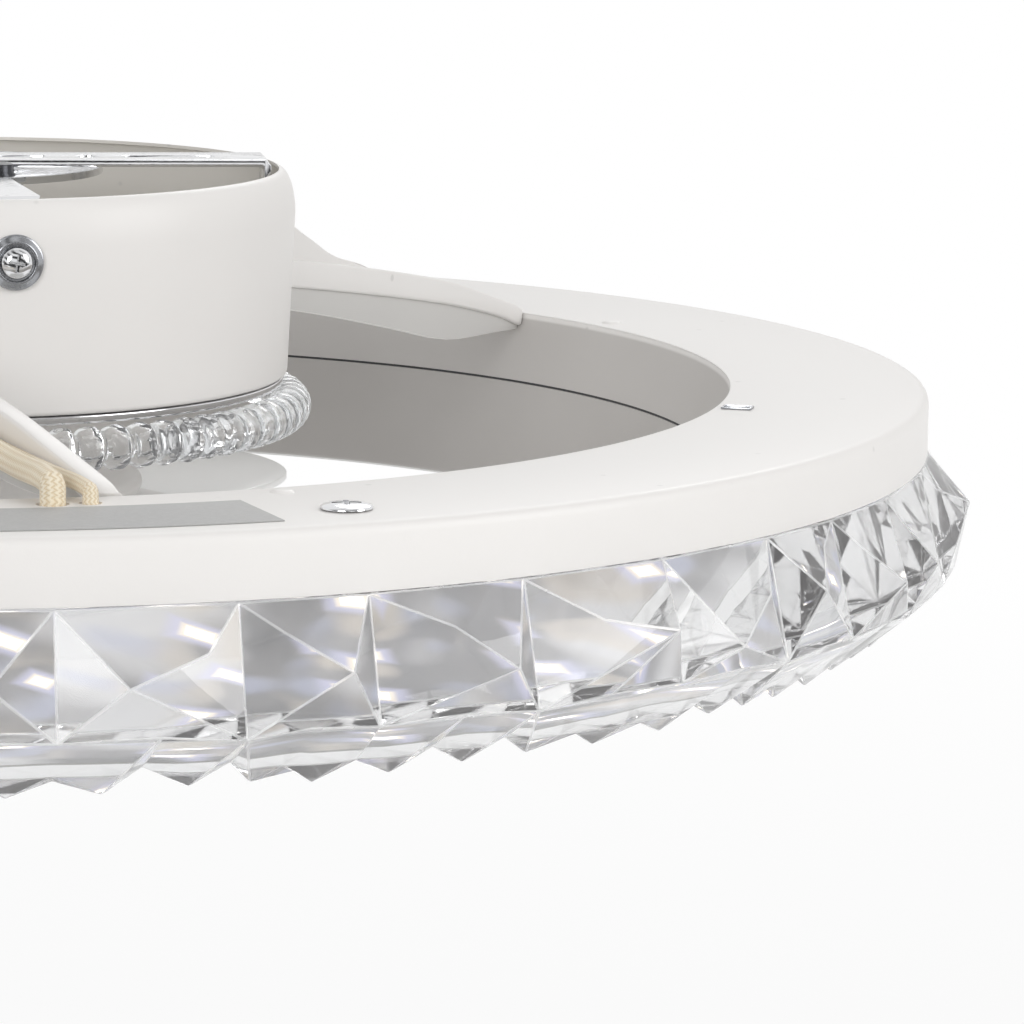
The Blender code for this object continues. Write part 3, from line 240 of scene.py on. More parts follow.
class Wire:
    # a socket that takes part in Python expressions
    def __init__(self, tree, socket=None):
        self.tree = tree
        self.socket = socket

    def feed(self, target, value):
        if isinstance(value, Wire):
            self.tree.links.new(value.socket, target)
        elif isinstance(value, tuple) and len(value) == 3 and len(target.default_value) == 4:
            target.default_value = (*value, 1.0)
        else:
            target.default_value = value

    def node(self, kind, settings=None, sockets=None, output=0):
        item = self.tree.nodes.new("ShaderNode" + kind)
        for key, value in (settings or {}).items():
            setattr(item, key, value)
        for key, value in (sockets or {}).items():
            self.feed(item.inputs[key], value)
        return Wire(self.tree, item.outputs[output])

    def maths(self, operation, *values):
        return self.node("Math", {"operation": operation}, dict(enumerate((self,) + values)))

    def __add__(self, other):
        return self.maths("ADD", other)

    def __sub__(self, other):
        return self.maths("SUBTRACT", other)

    def __rsub__(self, other):
        return self.node("Math", {"operation": "SUBTRACT"}, {0: other, 1: self})

    def __mul__(self, other):
        return self.maths("MULTIPLY", other)

    def __pow__(self, other):
        return self.maths("POWER", other)

    __radd__ = __add__
    __rmul__ = __mul__

    def above(self, level, soft):
        # 0 below the level, 1 above it, with a soft edge
        sockets = {"Value": self, "From Min": level - soft, "From Max": level + soft}
        return self.node("MapRange", {"interpolation_type": "SMOOTHSTEP"}, sockets)

    def span(self, low, high, out=(0.0, 1.0)):
        sockets = {"Value": self, "From Min": low, "From Max": high, "To Min": out[0], "To Max": out[1]}
        return self.node("MapRange", None, sockets)

    def split(self, vector):
        parts = self.tree.nodes.new("ShaderNodeSeparateXYZ")
        self.feed(parts.inputs[0], vector)
        return [Wire(self.tree, socket) for socket in parts.outputs]

    def mix(self, first, second):
        # this value chooses between two colours
        return self.node("Mix", {"data_type": "RGBA"}, {0: self, 6: first, 7: second}, output=2)


def clearTree(owner, kind="Material"):
    # an empty node tree with its output's surface socket
    owner.use_nodes = True
    owner.node_tree.nodes.clear()
    out = owner.node_tree.nodes.new("ShaderNodeOutput" + kind)
    return Wire(owner.node_tree), out.inputs["Surface"]


class Finish:
    # one Principled material and the coordinates it reads
    def __init__(self, name, numbers):
        self.material = bpy.data.materials.new(name)
        self.wire, surface = clearTree(self.material)
        self.shader = self.wire.tree.nodes.new("ShaderNodeBsdfPrincipled")
        self.wire.tree.links.new(self.shader.outputs[0], surface)
        for key, value in numbers.items():
            self.wire.feed(self.shader.inputs[key], value)

    def place(self):
        return self.wire.node("TexCoord", output=3)

    def axes(self):
        return self.wire.split(self.place())

    def radius(self):
        x, y, _ = self.axes()
        return (x * x + y * y) ** 0.5

    def noise(self, scale, detail=3.0, roughness=0.5, stretch=None, seed=(0.0, 0.0, 0.0)):
        mapping = {"Vector": self.place(), "Location": seed, "Scale": stretch or (1.0, 1.0, 1.0)}
        spot = self.wire.node("Mapping", None, mapping)
        sockets = {"Vector": spot, "Scale": scale, "Detail": detail, "Roughness": roughness}
        return self.wire.node("TexNoise", None, sockets)

    def cells(self, scale):
        return self.wire.node("TexVoronoi", None, {"Vector": self.place(), "Scale": scale})

    def color(self, value):
        self.wire.feed(self.shader.inputs["Base Color"], value)

    def rough(self, value):
        self.wire.feed(self.shader.inputs["Roughness"], value)

    def glow(self, value):
        self.wire.feed(self.shader.inputs["Emission Color"], value)
        self.shader.inputs["Emission Strength"].default_value = 1.0

    def turn(self):
        # angle round the Z axis, in radians
        x, y, _ = self.axes()
        return y.maths("ARCTAN2", x)

    def bump(self, height, strength, distance):
        sockets = {"Strength": strength, "Distance": distance, "Height": height}
        self.wire.feed(self.shader.inputs["Normal"], self.wire.node("Bump", None, sockets))


def makeEnamel(name, look, shadeZoneOf=None):
    # satin powder coat, with painted shade (a darker, greyer enamel) on the zone that the given function picks out
    finish = Finish(name, {"Specular IOR Level": 0.3, "Coat Weight": look["coat"], "Coat Roughness": 0.2})
    cloud = finish.noise(look["cloud"], 2.0)
    peel = finish.noise(look["peelScale"], 2.0, 0.6)
    speck = 1.0 - finish.cells(look["speckScale"]).above(0.05, 0.02)   # rare pin-sized marks
    body = (speck * 0.6).mix(cloud.mix(look["shade"], look["tint"]), look["speck"])
    rough = cloud.span(0.3, 0.7, look["rough"])
    if shadeZoneOf:
        shadeZone = shadeZoneOf(finish)
        body = shadeZone.mix(body, cloud.mix(look["thinShade"], look["thinTint"]))
        rough = rough + shadeZone * 0.12
    finish.color(body)
    finish.rough(rough)
    finish.bump(peel, look["peel"], 0.00006)
    return finish.material


def makeMetal(name, look):
    finish = Finish(name, {"Metallic": 1.0})
    cloud = finish.noise(look["cloud"], 3.0)
    scratch = finish.noise(look["scratch"], 3.0, 0.6, look["grain"])
    stain = finish.noise(look["cloud"] * 4.0, 4.0, 0.6, None, (3.1, 1.7, 0.4)).above(0.64, 0.05)
    finish.color((stain * 0.5).mix(cloud.mix(look["shade"], look["tint"]), look["stain"]))
    finish.rough(scratch.span(0.3, 0.7, look["rough"]) + stain * 0.08)
    finish.bump(scratch, look["bump"], 0.00003)
    return finish.material


def makeClear(name, look):
    finish = Finish(name, {"Transmission Weight": look["clear"], "IOR": look["ior"]})
    cloud = finish.noise(look["cloud"], 3.0)
    wave = finish.noise(look["wave"], 2.0, 0.5)
    finish.color(cloud.mix(look["shade"], look["tint"]))
    # a faint painted glow
    finish.glow(cloud.mix(look["faint"], look["lively"]))
    finish.rough(cloud.span(0.35, 0.65, look["rough"]))
    finish.bump(wave, look["bump"], 0.0002)
    return finish.material


def makePlastic(name, look, addPaintedGlow=None):
    finish = Finish(name, {"IOR": 1.46, "Coat Weight": look["coat"], "Coat Roughness": 0.2})
    cloud = finish.noise(look["cloud"], 2.0)
    grain = finish.noise(look["grainScale"], 3.0, 0.6, look["grain"])
    finish.color(cloud.mix(look["shade"], look["tint"]))
    finish.rough(grain.span(0.3, 0.7, look["rough"]))
    finish.bump(grain, look["bump"], 0.00005)
    # an optional painted glow
    if addPaintedGlow:
        addPaintedGlow(finish, look)
    return finish.material


def paintedLampGlow(finish, look):
    # painted light: the milky wall and the lamp board glow on the side that faces the crystals, with painted warm spots
    # and halos where the lamps sit and painted blue and peach patches
    patch = finish.noise(look["patch"], 1.0, 0.4, (1.0, 1.0, 1.6))
    tone = patch.span(0.38, 0.62).maths("MINIMUM", 1.0).maths("MAXIMUM", 0.0).mix(look["dim"], look["bright"])
    blue = finish.noise(look["patch"] * 1.3, 1.0, 0.4, None, (0.7, 2.3, 1.1)).above(0.6, 0.08)
    peach = finish.noise(look["patch"] * 1.1, 1.0, 0.4, None, (5.2, 0.4, 2.6)).above(0.63, 0.07)
    tone = (peach * 0.8).mix((blue * 0.8).mix(tone, look["blue"]), look["peach"])
    _, _, height = finish.axes()
    turn = finish.turn()
    depth = finish.radius() - height - look["lampStart"]
    across = (turn * look["lamps"] + depth * look["slant"]).maths("COSINE")
    down = (depth * (tau / look["lampStep"]) - turn * look["lean"]).maths("COSINE")
    near = across.span(-1.0, 1.0).maths("MINIMUM", down.span(-1.0, 1.0))
    tone = (near.above(0.7, 0.16) * 0.8).mix(tone, look["halo"])
    tone = near.above(0.88, 0.05).mix(tone, look["warm"])
    finish.glow(near.above(0.955, 0.03).mix(tone, look["lamp"]))


def makeBraid(name, look):
    # strands that cross over and under, on the sleeve's own map, with painted shade between the strands
    finish = Finish(name, {"IOR": 1.45, "Sheen Weight": 0.25})
    along, across, _ = finish.wire.split(finish.wire.node("TexCoord", output=2))
    lead = (along * look["pitch"] + across * look["strands"]) * tau
    trail = (along * look["pitch"] - across * look["strands"]) * tau
    first = (lead.maths("SINE") + 1.0) * 0.5
    second = (trail.maths("SINE") + 1.0) * 0.5
    over = ((lead * 0.5).maths("SINE") * (trail * 0.5).maths("SINE")).above(0.0, 0.2)
    weave = first * over + second * (1.0 - over)
    cloud = finish.noise(look["cloud"], 3.0)
    # the gap colour is painted shade between the strands
    finish.color(weave.span(0.0, 0.6).mix(look["gap"], cloud.mix(look["shade"], look["tint"])))
    finish.rough(weave.span(0.0, 1.0, look["rough"]))
    finish.bump(weave, 0.7, 0.0003)
    return finish.material


enamelLook = {
    "shade": (0.79, 0.77, 0.75), "tint": (0.845, 0.828, 0.808), "speck": (0.6, 0.59, 0.57),
    # the darker, greyer pair of colours is painted shade for the ring's inner lip
    "thinShade": (0.54, 0.52, 0.5), "thinTint": (0.61, 0.59, 0.57),
    "rough": (0.36, 0.48), "coat": 0.05, "cloud": 14.0, "peelScale": 1500.0, "peel": 0.35, "speckScale": 55.0,
}
primerLook = dict(enamelLook, shade=(0.755, 0.73, 0.685), tint=(0.825, 0.8, 0.755), rough=(0.5, 0.62), coat=0.0)
# a darker enamel: painted shade for the arms' webs under the bar
webShadeLook = dict(enamelLook, shade=(0.58, 0.57, 0.555), tint=(0.64, 0.63, 0.61))
steelLook = {
    "shade": (0.74, 0.75, 0.77), "tint": (0.88, 0.88, 0.89), "stain": (0.52, 0.52, 0.53),
    "rough": (0.05, 0.12), "cloud": 60.0, "scratch": 700.0, "grain": (1.0, 9.0, 9.0), "bump": 0.16,
}
washerLook = dict(steelLook, shade=(0.34, 0.35, 0.37), tint=(0.46, 0.47, 0.49), rough=(0.18, 0.3))
darkLook = dict(
    steelLook, shade=(0.035, 0.036, 0.04), tint=(0.085, 0.087, 0.095), stain=(0.16, 0.15, 0.14), rough=(0.22, 0.38))
coreLook = dict(darkLook, shade=(0.12, 0.12, 0.125), tint=(0.2, 0.2, 0.21), grain=(1.0, 1.0, 60.0))
# the two emission colours are a faint painted glow that lifts the dark parts of the crystals and beads
clearLook = {
    "shade": (0.78, 0.79, 0.805), "tint": (0.88, 0.878, 0.87), "rough": (0.0, 0.02), "ior": 1.48, "clear": 0.96,
    "faint": (0.004, 0.004, 0.005), "lively": (0.022, 0.021, 0.02),
    "cloud": 40.0, "wave": 40.0, "bump": 0.3,
}
rimLook = dict(clearLook, shade=(0.84, 0.85, 0.86), tint=(0.92, 0.92, 0.91), rough=(0.16, 0.3), clear=0.62)
beadLook = dict(
    clearLook, shade=(0.93, 0.94, 0.95), tint=(0.98, 0.98, 0.975), rough=(0.01, 0.04),
    faint=(0.004, 0.004, 0.004), lively=(0.012, 0.012, 0.013), wave=260.0)
bladeLook = {
    "shade": (0.88, 0.88, 0.865), "tint": (0.93, 0.93, 0.915), "rough": (0.3, 0.42), "coat": 0.15,
    "cloud": 18.0, "grainScale": 900.0, "grain": (1.0, 1.0, 1.0), "bump": 0.12,
}
driverLook = dict(bladeLook, shade=(0.76, 0.76, 0.74), tint=(0.82, 0.82, 0.8), rough=(0.42, 0.58), bump=0.4)
greyLook = dict(driverLook, shade=(0.32, 0.32, 0.32), tint=(0.4, 0.4, 0.39))
# darker than milky acrylic: painted shade for the cover's wall; the paler base look below is the cover's own colour
shadedMilkLook = dict(bladeLook, shade=(0.47, 0.45, 0.43), tint=(0.54, 0.52, 0.5), rough=(0.34, 0.44), bump=0.06)
baseLook = dict(shadedMilkLook, shade=(0.7, 0.695, 0.68), tint=(0.77, 0.765, 0.75))
plateLook = dict(bladeLook, shade=(0.37, 0.37, 0.37), tint=(0.46, 0.46, 0.45), rough=(0.42, 0.55), coat=0.0, bump=0.2)
# near black, for the strip of painted shade in the seam between the ring and the cover
seamShadeLook = dict(bladeLook, shade=(0.03, 0.03, 0.032), tint=(0.055, 0.055, 0.057), rough=(0.55, 0.7), bump=0.3)
# a painted glow, with painted lamp spots, for the faces behind the crystals
paintedGlowLook = dict(
    shadedMilkLook, shade=(0.46, 0.46, 0.46), tint=(0.54, 0.54, 0.54), patch=34.0, lamps=30.0,
    dim=(0.05, 0.05, 0.052), bright=(0.46, 0.46, 0.46), blue=(0.26, 0.29, 0.41), peach=(0.42, 0.37, 0.3),
    halo=(0.46, 0.46, 0.66), warm=(0.95, 0.84, 0.68), lamp=(4.2, 3.9, 3.4), lampStart=0.2815, lampStep=0.033,
    slant=70.0, lean=30.0,
)
paintedBoardGlowLook = dict(paintedGlowLook, lampStart=0.2935)
sleeveLook = {
    "shade": (0.9, 0.78, 0.57), "tint": (0.97, 0.9, 0.77), "gap": (0.74, 0.6, 0.4), "rough": (0.7, 0.9),
    "pitch": 1100.0, "strands": 10.0, "cloud": 120.0,
}
ringLip = {"radius": 0.1994, "drop": 0.0016}


def ringShadeZone(finish):
    # the ring's inner lip below its top face, which gets painted shade: a darker, greyer enamel
    _, _, height = finish.axes()
    within = 1.0 - finish.radius().above(ringLip["radius"], 0.0004)
    return within * (1.0 - height.above(ringPlane - ringLip["drop"], 0.0005))


enamel = makeEnamel("satinEnamel", enamelLook)
ringEnamel = makeEnamel("ringEnamel", enamelLook, ringShadeZone)
primer = makeEnamel("thinPrimer", primerLook)
thinEnamel = makeEnamel("thinEnamel", webShadeLook)
steel = makeMetal("polishedSteel", steelLook)
washerSteel = makeMetal("washerSteel", washerLook)
plateSilver = makePlastic("plateSilver", plateLook)
darkSteel = makeMetal("darkSteel", darkLook)
coreSteel = makeMetal("statorSteel", coreLook)
crystalClear = makeClear("cutCrystal", clearLook)
crystalRim = makeClear("crystalRim", rimLook)
beadClear = makeClear("beadAcrylic", beadLook)
bladePlastic = makePlastic("bladePlastic", bladeLook)
driverPlastic = makePlastic("driverCase", driverLook)
greyPlastic = makePlastic("controllerCase", greyLook)
milkAcrylic = makePlastic("milkAcrylic", shadedMilkLook)
milkBase = makePlastic("milkBase", baseLook)
seamShadeBlack = makePlastic("gasketRubber", seamShadeLook)
litAcrylic = makePlastic("litAcrylic", paintedGlowLook, paintedLampGlow)
litEnamel = makePlastic("litEnamel", paintedGlowLook, paintedLampGlow)
litBoard = makePlastic("litBoard", paintedBoardGlowLook, paintedLampGlow)
braid = makeBraid("sleeveBraid", sleeveLook)

slotFinish = {
    "polished_steel": steel, "dark_steel": darkSteel, "white_enamel": enamel, "white_plastic": bladePlastic,
    "grey_plastic": greyPlastic, "milky_acrylic": milkAcrylic, "clear_acrylic": crystalClear,
    "braided_sleeve": braid, "board_enamel": litBoard,
}
ownFinish = {"light_driver": driverPlastic, "stator_core": coreSteel}
slotOf = {part["node"]: part["material_slot"] for part in frame["record"]["subparts"]}
for name, slotName in slotOf.items():
    nodes[name].data.materials.clear()
    nodes[name].data.materials.append(ownFinish.get(name) or slotFinish[slotName])
print("stage: finishes on the CAD nodes")


# the braided wires from the drum to the ring, which leave the drum's wall and go into the ring
sleeveRoutes = {
    "wire_sleeve_inner": {
        "radius": 0.0018, "length": 0.1865, "points": [
        (-0.02437, -0.05572, -0.0432), (-0.02437, -0.05752, -0.0432), (-0.02437, -0.05932, -0.0432),
        (-0.03794, -0.06987, -0.0337), (-0.03965, -0.07303, -0.0337), (-0.04137, -0.0762, -0.0337),
        (-0.04309, -0.07936, -0.0337), (-0.01857, -0.11372, -0.0402), (-0.00944, -0.13027, -0.0442),
        (-0.00031, -0.14682, -0.0477), (0.00817, -0.16219, -0.0502), (0.01535, -0.17519, -0.0519),
        (0.02039, -0.18475, -0.0528), (0.02797, -0.20415, -0.0535), (0.02816, -0.20558, -0.05566),
        (0.02816, -0.20558, -0.0574), (0.02816, -0.20558, -0.0595)],
    },
    "wire_sleeve_outer": {
        "radius": 0.0029, "length": 0.1936, "points": [
        (-0.03397, -0.05572, -0.0432), (-0.03397, -0.05862, -0.0432), (-0.03397, -0.06152, -0.0432),
        (-0.04417, -0.06344, -0.0337), (-0.04749, -0.0682, -0.0337), (-0.04955, -0.07115, -0.0337),
        (-0.05286, -0.07591, -0.0337), (-0.02321, -0.11628, -0.0382), (-0.01408, -0.13283, -0.0417),
        (-0.00512, -0.14948, -0.0452), (0.00283, -0.16514, -0.048), (0.00922, -0.17857, -0.05),
        (0.01348, -0.18856, -0.0509), (0.01967, -0.20424, -0.05185), (0.01989, -0.20654, -0.05533),
        (0.01989, -0.20654, -0.0574), (0.01989, -0.20654, -0.0595)],
    },
}
sleeveLay = {"sides": 20, "fine": 3}


def smoothRoute(points, radius, fine):
    # the same smooth curve through the route's points that the solid follows, in finer steps
    result = []
    points = [Vector(point) for point in points]
    count = len(points)
    for index in range(count - 1):
        first, second = points[index], points[index + 1]
        before, after = points[max(0, index - 1)], points[min(count - 1, index + 2)]
        reach = (second - first).length
        lead = first + (second - before).normalized() * reach / 3
        trail = second - (after - first).normalized() * reach / 3
        steps = max(1, round(reach / (radius * 4))) * fine
        for step in range(steps):
            t = step / steps
            blend = first * (1 - t) ** 3 + lead * 3 * t * (1 - t) ** 2
            result.append(blend + trail * 3 * t * t * (1 - t) + second * t ** 3)
    result.append(points[-1])
    return result


def makeSleeve(node, sleeve, lay):
    path = smoothRoute(sleeve["points"], sleeve["radius"], lay["fine"])
    mesh = bpy.data.meshes.new(pieceName(node))
    work = bmesh.new()
    sides, radius = lay["sides"], sleeve["radius"]
    side = Vector((1.0, 0.0, 0.0))
    rows, runs, run = [], [], 0.0
    for index, point in enumerate(path):
        ahead = path[min(index + 1, len(path) - 1)] - path[max(index - 1, 0)]
        ahead.normalize()
        side = (side - ahead * side.dot(ahead)).normalized()
        across = ahead.cross(side)
        row = []
        for step in range(sides):
            turn = tau * step / sides
            row.append(work.verts.new(point + (side * cos(turn) + across * sin(turn)) * radius))
        rows.append(row)
        run += (point - path[index - 1]).length if index else 0.0
        runs.append(run)
    layer = work.loops.layers.uv.new("weave")
    for index in range(len(rows) - 1):
        for step in range(sides):
            places = ((index, step), (index, step + 1), (index + 1, step + 1), (index + 1, step))
            face = work.faces.new([rows[row][column % sides] for row, column in places])
            for loop, (row, column) in zip(face.loops, places):
                loop[layer].uv = (runs[row], column / sides)
    for row in (rows[0], rows[-1]):
        work.faces.new(row)
    bmesh.ops.recalc_face_normals(work, faces=work.faces)
    work.to_mesh(mesh)
    work.free()
    item = newObject(pieceName(node), mesh)
    smoothEdges(item, 50.0)
    dress(item, braid, node)
    radius * 2


for node, sleeve in sleeveRoutes.items():
    makeSleeve(node, sleeve, sleeveLay)
print("stage: braided sleeves")


# round pieces, turned from (radius, height, roundness) outlines
canopyLook = {
    "mouth": 0.0824, "side": 0.0866, "foot": 0.0846, "top": -0.0026, "low": -0.0556, "shoulder": 0.0112,
    "sheet": 0.0012, "bore": 0.0088, "wirePlace": 0.0856, "wireHeight": -0.0337,
    "wireHoles": ((-118.5, 0.0025), (-124.86, 0.0036)),
}
trayOutline = [
    (0.07, -0.057, 0.0), (0.07, -0.0559, 0.0002), (0.0838, -0.0559, 0.0004), (0.0838, -0.058, 0.0006),
    (0.07, -0.058, 0.0002)]
ringOutline = [
    (0.19935, -0.0568, 0.0), (0.1991, -0.0562, 0.0004), (0.25, -0.0562, 0.0026), (0.25, -0.0713, 0.0003),
    (0.2488, -0.0713, 0.0003), (0.2488, -0.0575, 0.0016), (0.2004, -0.0574, 0.0006), (0.1956, -0.0751, 0.0002),
    (0.1944, -0.0751, 0.0002)]
coverOutline = [
    (0.232, -0.1026, 0.0), (0.2329, -0.1028, 0.0003), (0.2329, -0.1044, 0.0006), (0.1888, -0.1044, 0.0008),
    (0.1874, -0.1034, 0.0008), (0.1943, -0.0757, 0.0002), (0.1961, -0.0757, 0.0002), (0.1908, -0.1022, 0.0012)]
shellOutline = [
    (0.036, -0.062, 0.0), (0.0384, -0.0624, 0.001), (0.0428, -0.079, 0.004),
    (0.0466, -0.0828, 0.0016), (0.047, -0.0846, 0.0006), (0.0462, -0.0868, 0.0008), (0.0437, -0.089, 0.001),
    (0.0425, -0.0928, 0.0008), (0.0389, -0.0928, 0.0003), (0.0389, -0.082, 0.001), (0.036, -0.0644, 0.0008),
    (0.016, -0.0644, 0.0003), (0.016, -0.0669, 0.0003), (0.0136, -0.0669, 0.0002), (0.0136, -0.062, 0.0002)]
flangeOutline = [
    (0.0136, -0.0942, 0.0), (0.0136, -0.0931, 0.0002), (0.062, -0.0931, 0.0007), (0.062, -0.0953, 0.0007),
    (0.0136, -0.0953, 0.0002)]
capOutline = [
    (0.0, -0.1094, 0.0), (0.0255, -0.1085, 0.006), (0.0378, -0.1047, 0.006), (0.042, -0.0956, 0.0003),
    (0.044, -0.0956, 0.0004), (0.044, -0.102, 0.003), (0.0405, -0.1064, 0.005), (0.0273, -0.1105, 0.008),
    (0.0, -0.1114, 0.0)]
mountOutline = [
    (0.0088, -0.0572, 0.0), (0.0088, -0.0559, 0.0002), (0.04, -0.0559, 0.0005), (0.04, -0.0585, 0.0005),
    (0.0088, -0.0585, 0.0002)]


def shoulderArc(mouth, side, top, depth):
    # a quarter of an ellipse from the drum's mouth to its side
    turns = [pi / 2 * step / 10 for step in range(11)]
    return [(mouth + (side - mouth) * sin(turn), top - depth * (1.0 - cos(turn)), 0.0) for turn in turns]


def makeCanopy(look):
    sheet, low, drop = look["sheet"], look["low"], look["sheet"] * 0.7
    outer = shoulderArc(look["mouth"], look["side"], look["top"], look["shoulder"])
    inner = shoulderArc(look["mouth"], look["side"] - sheet, look["top"] - drop, look["shoulder"] - drop)
    foot = [
        (look["foot"], low, 0.0014), (look["bore"], low, 0.0003), (look["bore"], low + sheet, 0.0003),
        (look["foot"] - sheet, low + sheet, 0.0008)]
    drum = lathe("canopyDrum", outer + foot + inner[::-1], 180)
    for degrees, radius in look["wireHoles"]:
        place = around(look["wirePlace"], degrees, look["wireHeight"])
        drill(drum, place, radius, 0.012, around(1.0, degrees, 0.0), 32)
    smoothEdges(drum)
    dress(drum, enamel, "canopy_drum")
    drum.data.materials.append(primer)
    for face in drum.data.polygons:
        inward = face.normal.xy.dot(face.center.xy) < -0.2 * hypot(*face.center.xy)
        floor = face.normal.z > 0.5 and face.center.z < low + sheet * 2
        face.material_index = 1 if inward or floor else 0


wallLook = {
    "radius": 0.1943, "height": -0.0757, "slope": 0.25, "coverFloor": -0.1036, "coverSide": 0.001, "ringSide": 0.000525,
}


def beyondWall(place, wall):
    # how far a point is outside the opening's leaning wall
    return hypot(*place.xy) - wall["radius"] - (place.z - wall["height"]) * wall["slope"]


def makeCover(outline, wall):
    # the wall towards the opening is milky acrylic darkened as painted shade, the side that faces the crystals has a
    # painted glow, and the underside keeps the plain milky colour
    cover = lathe("lightCover", outline, 256)
    dress(cover, milkAcrylic, "light_cover")
    cover.data.materials.append(litAcrylic)
    cover.data.materials.append(milkBase)
    for face in cover.data.polygons:
        above = face.center.z > wall["coverFloor"]
        inside = above and beyondWall(face.center, wall) > wall["coverSide"]
        below = not above and face.normal.z < -0.5
        face.material_index = 1 if inside else 2 if below else 0


# a black strip in the seam between the ring and the cover: painted shade for the dark seam line
seamShadeOutline = [
    (0.195, -0.0752, 0.0), (0.1944, -0.0752, 0.0001), (0.1944, -0.07565, 0.0001), (0.1957, -0.07565, 0.0001),
    (0.1957, -0.0752, 0.0001)]
dress(lathe("seamGasket", seamShadeOutline, 256), seamShadeBlack)
makeCanopy(canopyLook)
dress(lathe("beadTray", trayOutline, 180), steel, "bead_tray")
dress(lathe("motorFlange", mountOutline, 96), steel, "motor_flange")
dress(lathe("rotorShell", shellOutline, 128), enamel, "rotor_shell", "rotor")
dress(lathe("hubCap", capOutline, 128), enamel, "hub_cap", "rotor")
makeCover(coverOutline, wallLook)
print("stage: drum, tray, motor, cap and cover")


def makeRecess(item, height, reach, width, depth):
    # presses a cross recess into the top of a head that points along +Z
    for turn in (0.0, pi / 2):
        bpy.ops.mesh.primitive_cube_add(size=1.0, location=(0.0, 0.0, height), rotation=(0.0, 0.0, turn))
        tool = bpy.context.object
        tool.scale = (reach, width, depth * 2)
        settle(tool, "recessTool")
        cutWith(item, tool)


def makeScrew(node, look, place, direction, body="fixture"):
    radius, height = look["radius"], look["height"]
    outline = [
        (0.0, height, 0.0), (radius * 0.62, height * 0.94, radius * 0.3),
        (radius * 0.97, height * 0.45, height * 0.3), (radius, 0.0, height * 0.08),
        (look["shank"], 0.0, 0.0), (look["shank"], -look["length"], 0.0002), (0.0, -look["length"], 0.0)]
    item = lathe(pieceName(node), outline, 40)
    makeRecess(item, height, radius * 1.1, radius * 0.22, height * 0.55)
    smoothEdges(item, 40.0)
    placeAlong(item, place, direction)
    dress(item, steel, node, body)


screwLooks = {
    "side": {"radius": 0.004, "height": 0.0026, "shank": 0.002, "length": 0.012},
    "ring": {"radius": 0.0059, "height": 0.0013, "shank": 0.0019, "length": 0.0052},
    "blade": {"radius": 0.0038, "height": 0.002, "shank": 0.0018, "length": 0.005},
}
washerOutline = [
    (0.0023, 0.0005, 0.0), (0.0023, 0.001, 0.0001), (0.0046, 0.001, 0.0002), (0.0046, 0.002, 0.0002),
    (0.0052, 0.002, 0.0002), (0.0064, 0.0009, 0.0004), (0.0068, 0.0008, 0.0002), (0.0068, 0.0, 0.0001),
    (0.0023, 0.0, 0.0001)]
sideLook = {"angles": {"front": -81.0, "back": 99.0}, "seat": 0.08652, "height": -0.0174, "lift": 0.0013}
ringLook = {
    "screws": (-68.9, 111.1), "screwPlace": 0.2317, "screwHole": 0.0022, "lift": 0.0003,
    "wireHoles": ((-82.2, 0.0026), (-84.5, 0.0037)), "wirePlace": 0.2075, "rim": 0.24, "sheet": 0.0008,
}
bladeFixing = {"count": 5, "place": 0.055, "start": 60.0, "hole": 0.0021, "seat": -0.0981, "flange": -0.0942}


def bladeAngles(look):
    return [look["start"] + 360.0 / look["count"] * index for index in range(look["count"])]


def makeSideFixings(outline, look):
    for label, degrees in look["angles"].items():
        outward = around(1.0, degrees, 0.0)
        seat = outward * look["seat"] + upright * look["height"]
        washer = lathe(pieceName("cup_washer_" + label), outline, 48)
        placeAlong(washer, seat, outward)
        dress(washer, washerSteel, "cup_washer_" + label)
        makeScrew("canopy_screw_" + label, screwLooks["side"], seat + outward * look["lift"], outward)


makeSideFixings(washerOutline, sideLook)
for index, degrees in enumerate(ringLook["screws"], 1):
    place = around(ringLook["screwPlace"], degrees, ringPlane + ringLook["lift"])
    makeScrew("ring_screw_%d" % index, screwLooks["ring"], place, upright)
for index, degrees in enumerate(bladeAngles(bladeFixing), 1):
    place = around(bladeFixing["place"], degrees, bladeFixing["seat"])
    makeScrew("blade_screw_%d" % index, screwLooks["blade"], place, -upright, "rotor")
print("stage: screws and washers")


def makeRing(outline, look, wall):
    ring = lathe("ringHousing", outline, 256)
    holes = [(look["screwPlace"], degrees, look["screwHole"]) for degrees in look["screws"]]
    holes += [(look["wirePlace"], degrees, radius) for degrees, radius in look["wireHoles"]]
    for place, degrees, radius in holes:
        drill(ring, around(place, degrees, ringPlane), radius, sides=32)
    smoothEdges(ring)
    dress(ring, ringEnamel, "ring_housing")
    # the ring's faces inside the crystals get a painted glow
    ring.data.materials.append(litEnamel)
    for face in ring.data.polygons:
        radius = hypot(*face.center.xy)
        outside = radius > look["rim"] and face.normal.xy.dot(face.center.xy) > 0.3 * radius
        within = beyondWall(face.center, wall) > wall["ringSide"] and face.center.z < ringPlane - look["sheet"]
        face.material_index = 1 if within and not outside and face.normal.z < 0.1 else 0


def makeFlange(outline, look):
    flange = lathe("bladeFlange", outline, 128)
    for degrees in bladeAngles(look):
        drill(flange, around(look["place"], degrees, look["flange"]), look["hole"])
    smoothEdges(flange)
    dress(flange, enamel, "blade_flange", "rotor")


makeRing(ringOutline, ringLook, wallLook)
makeFlange(flangeOutline, bladeFixing)
print("stage: ring and blade flange")


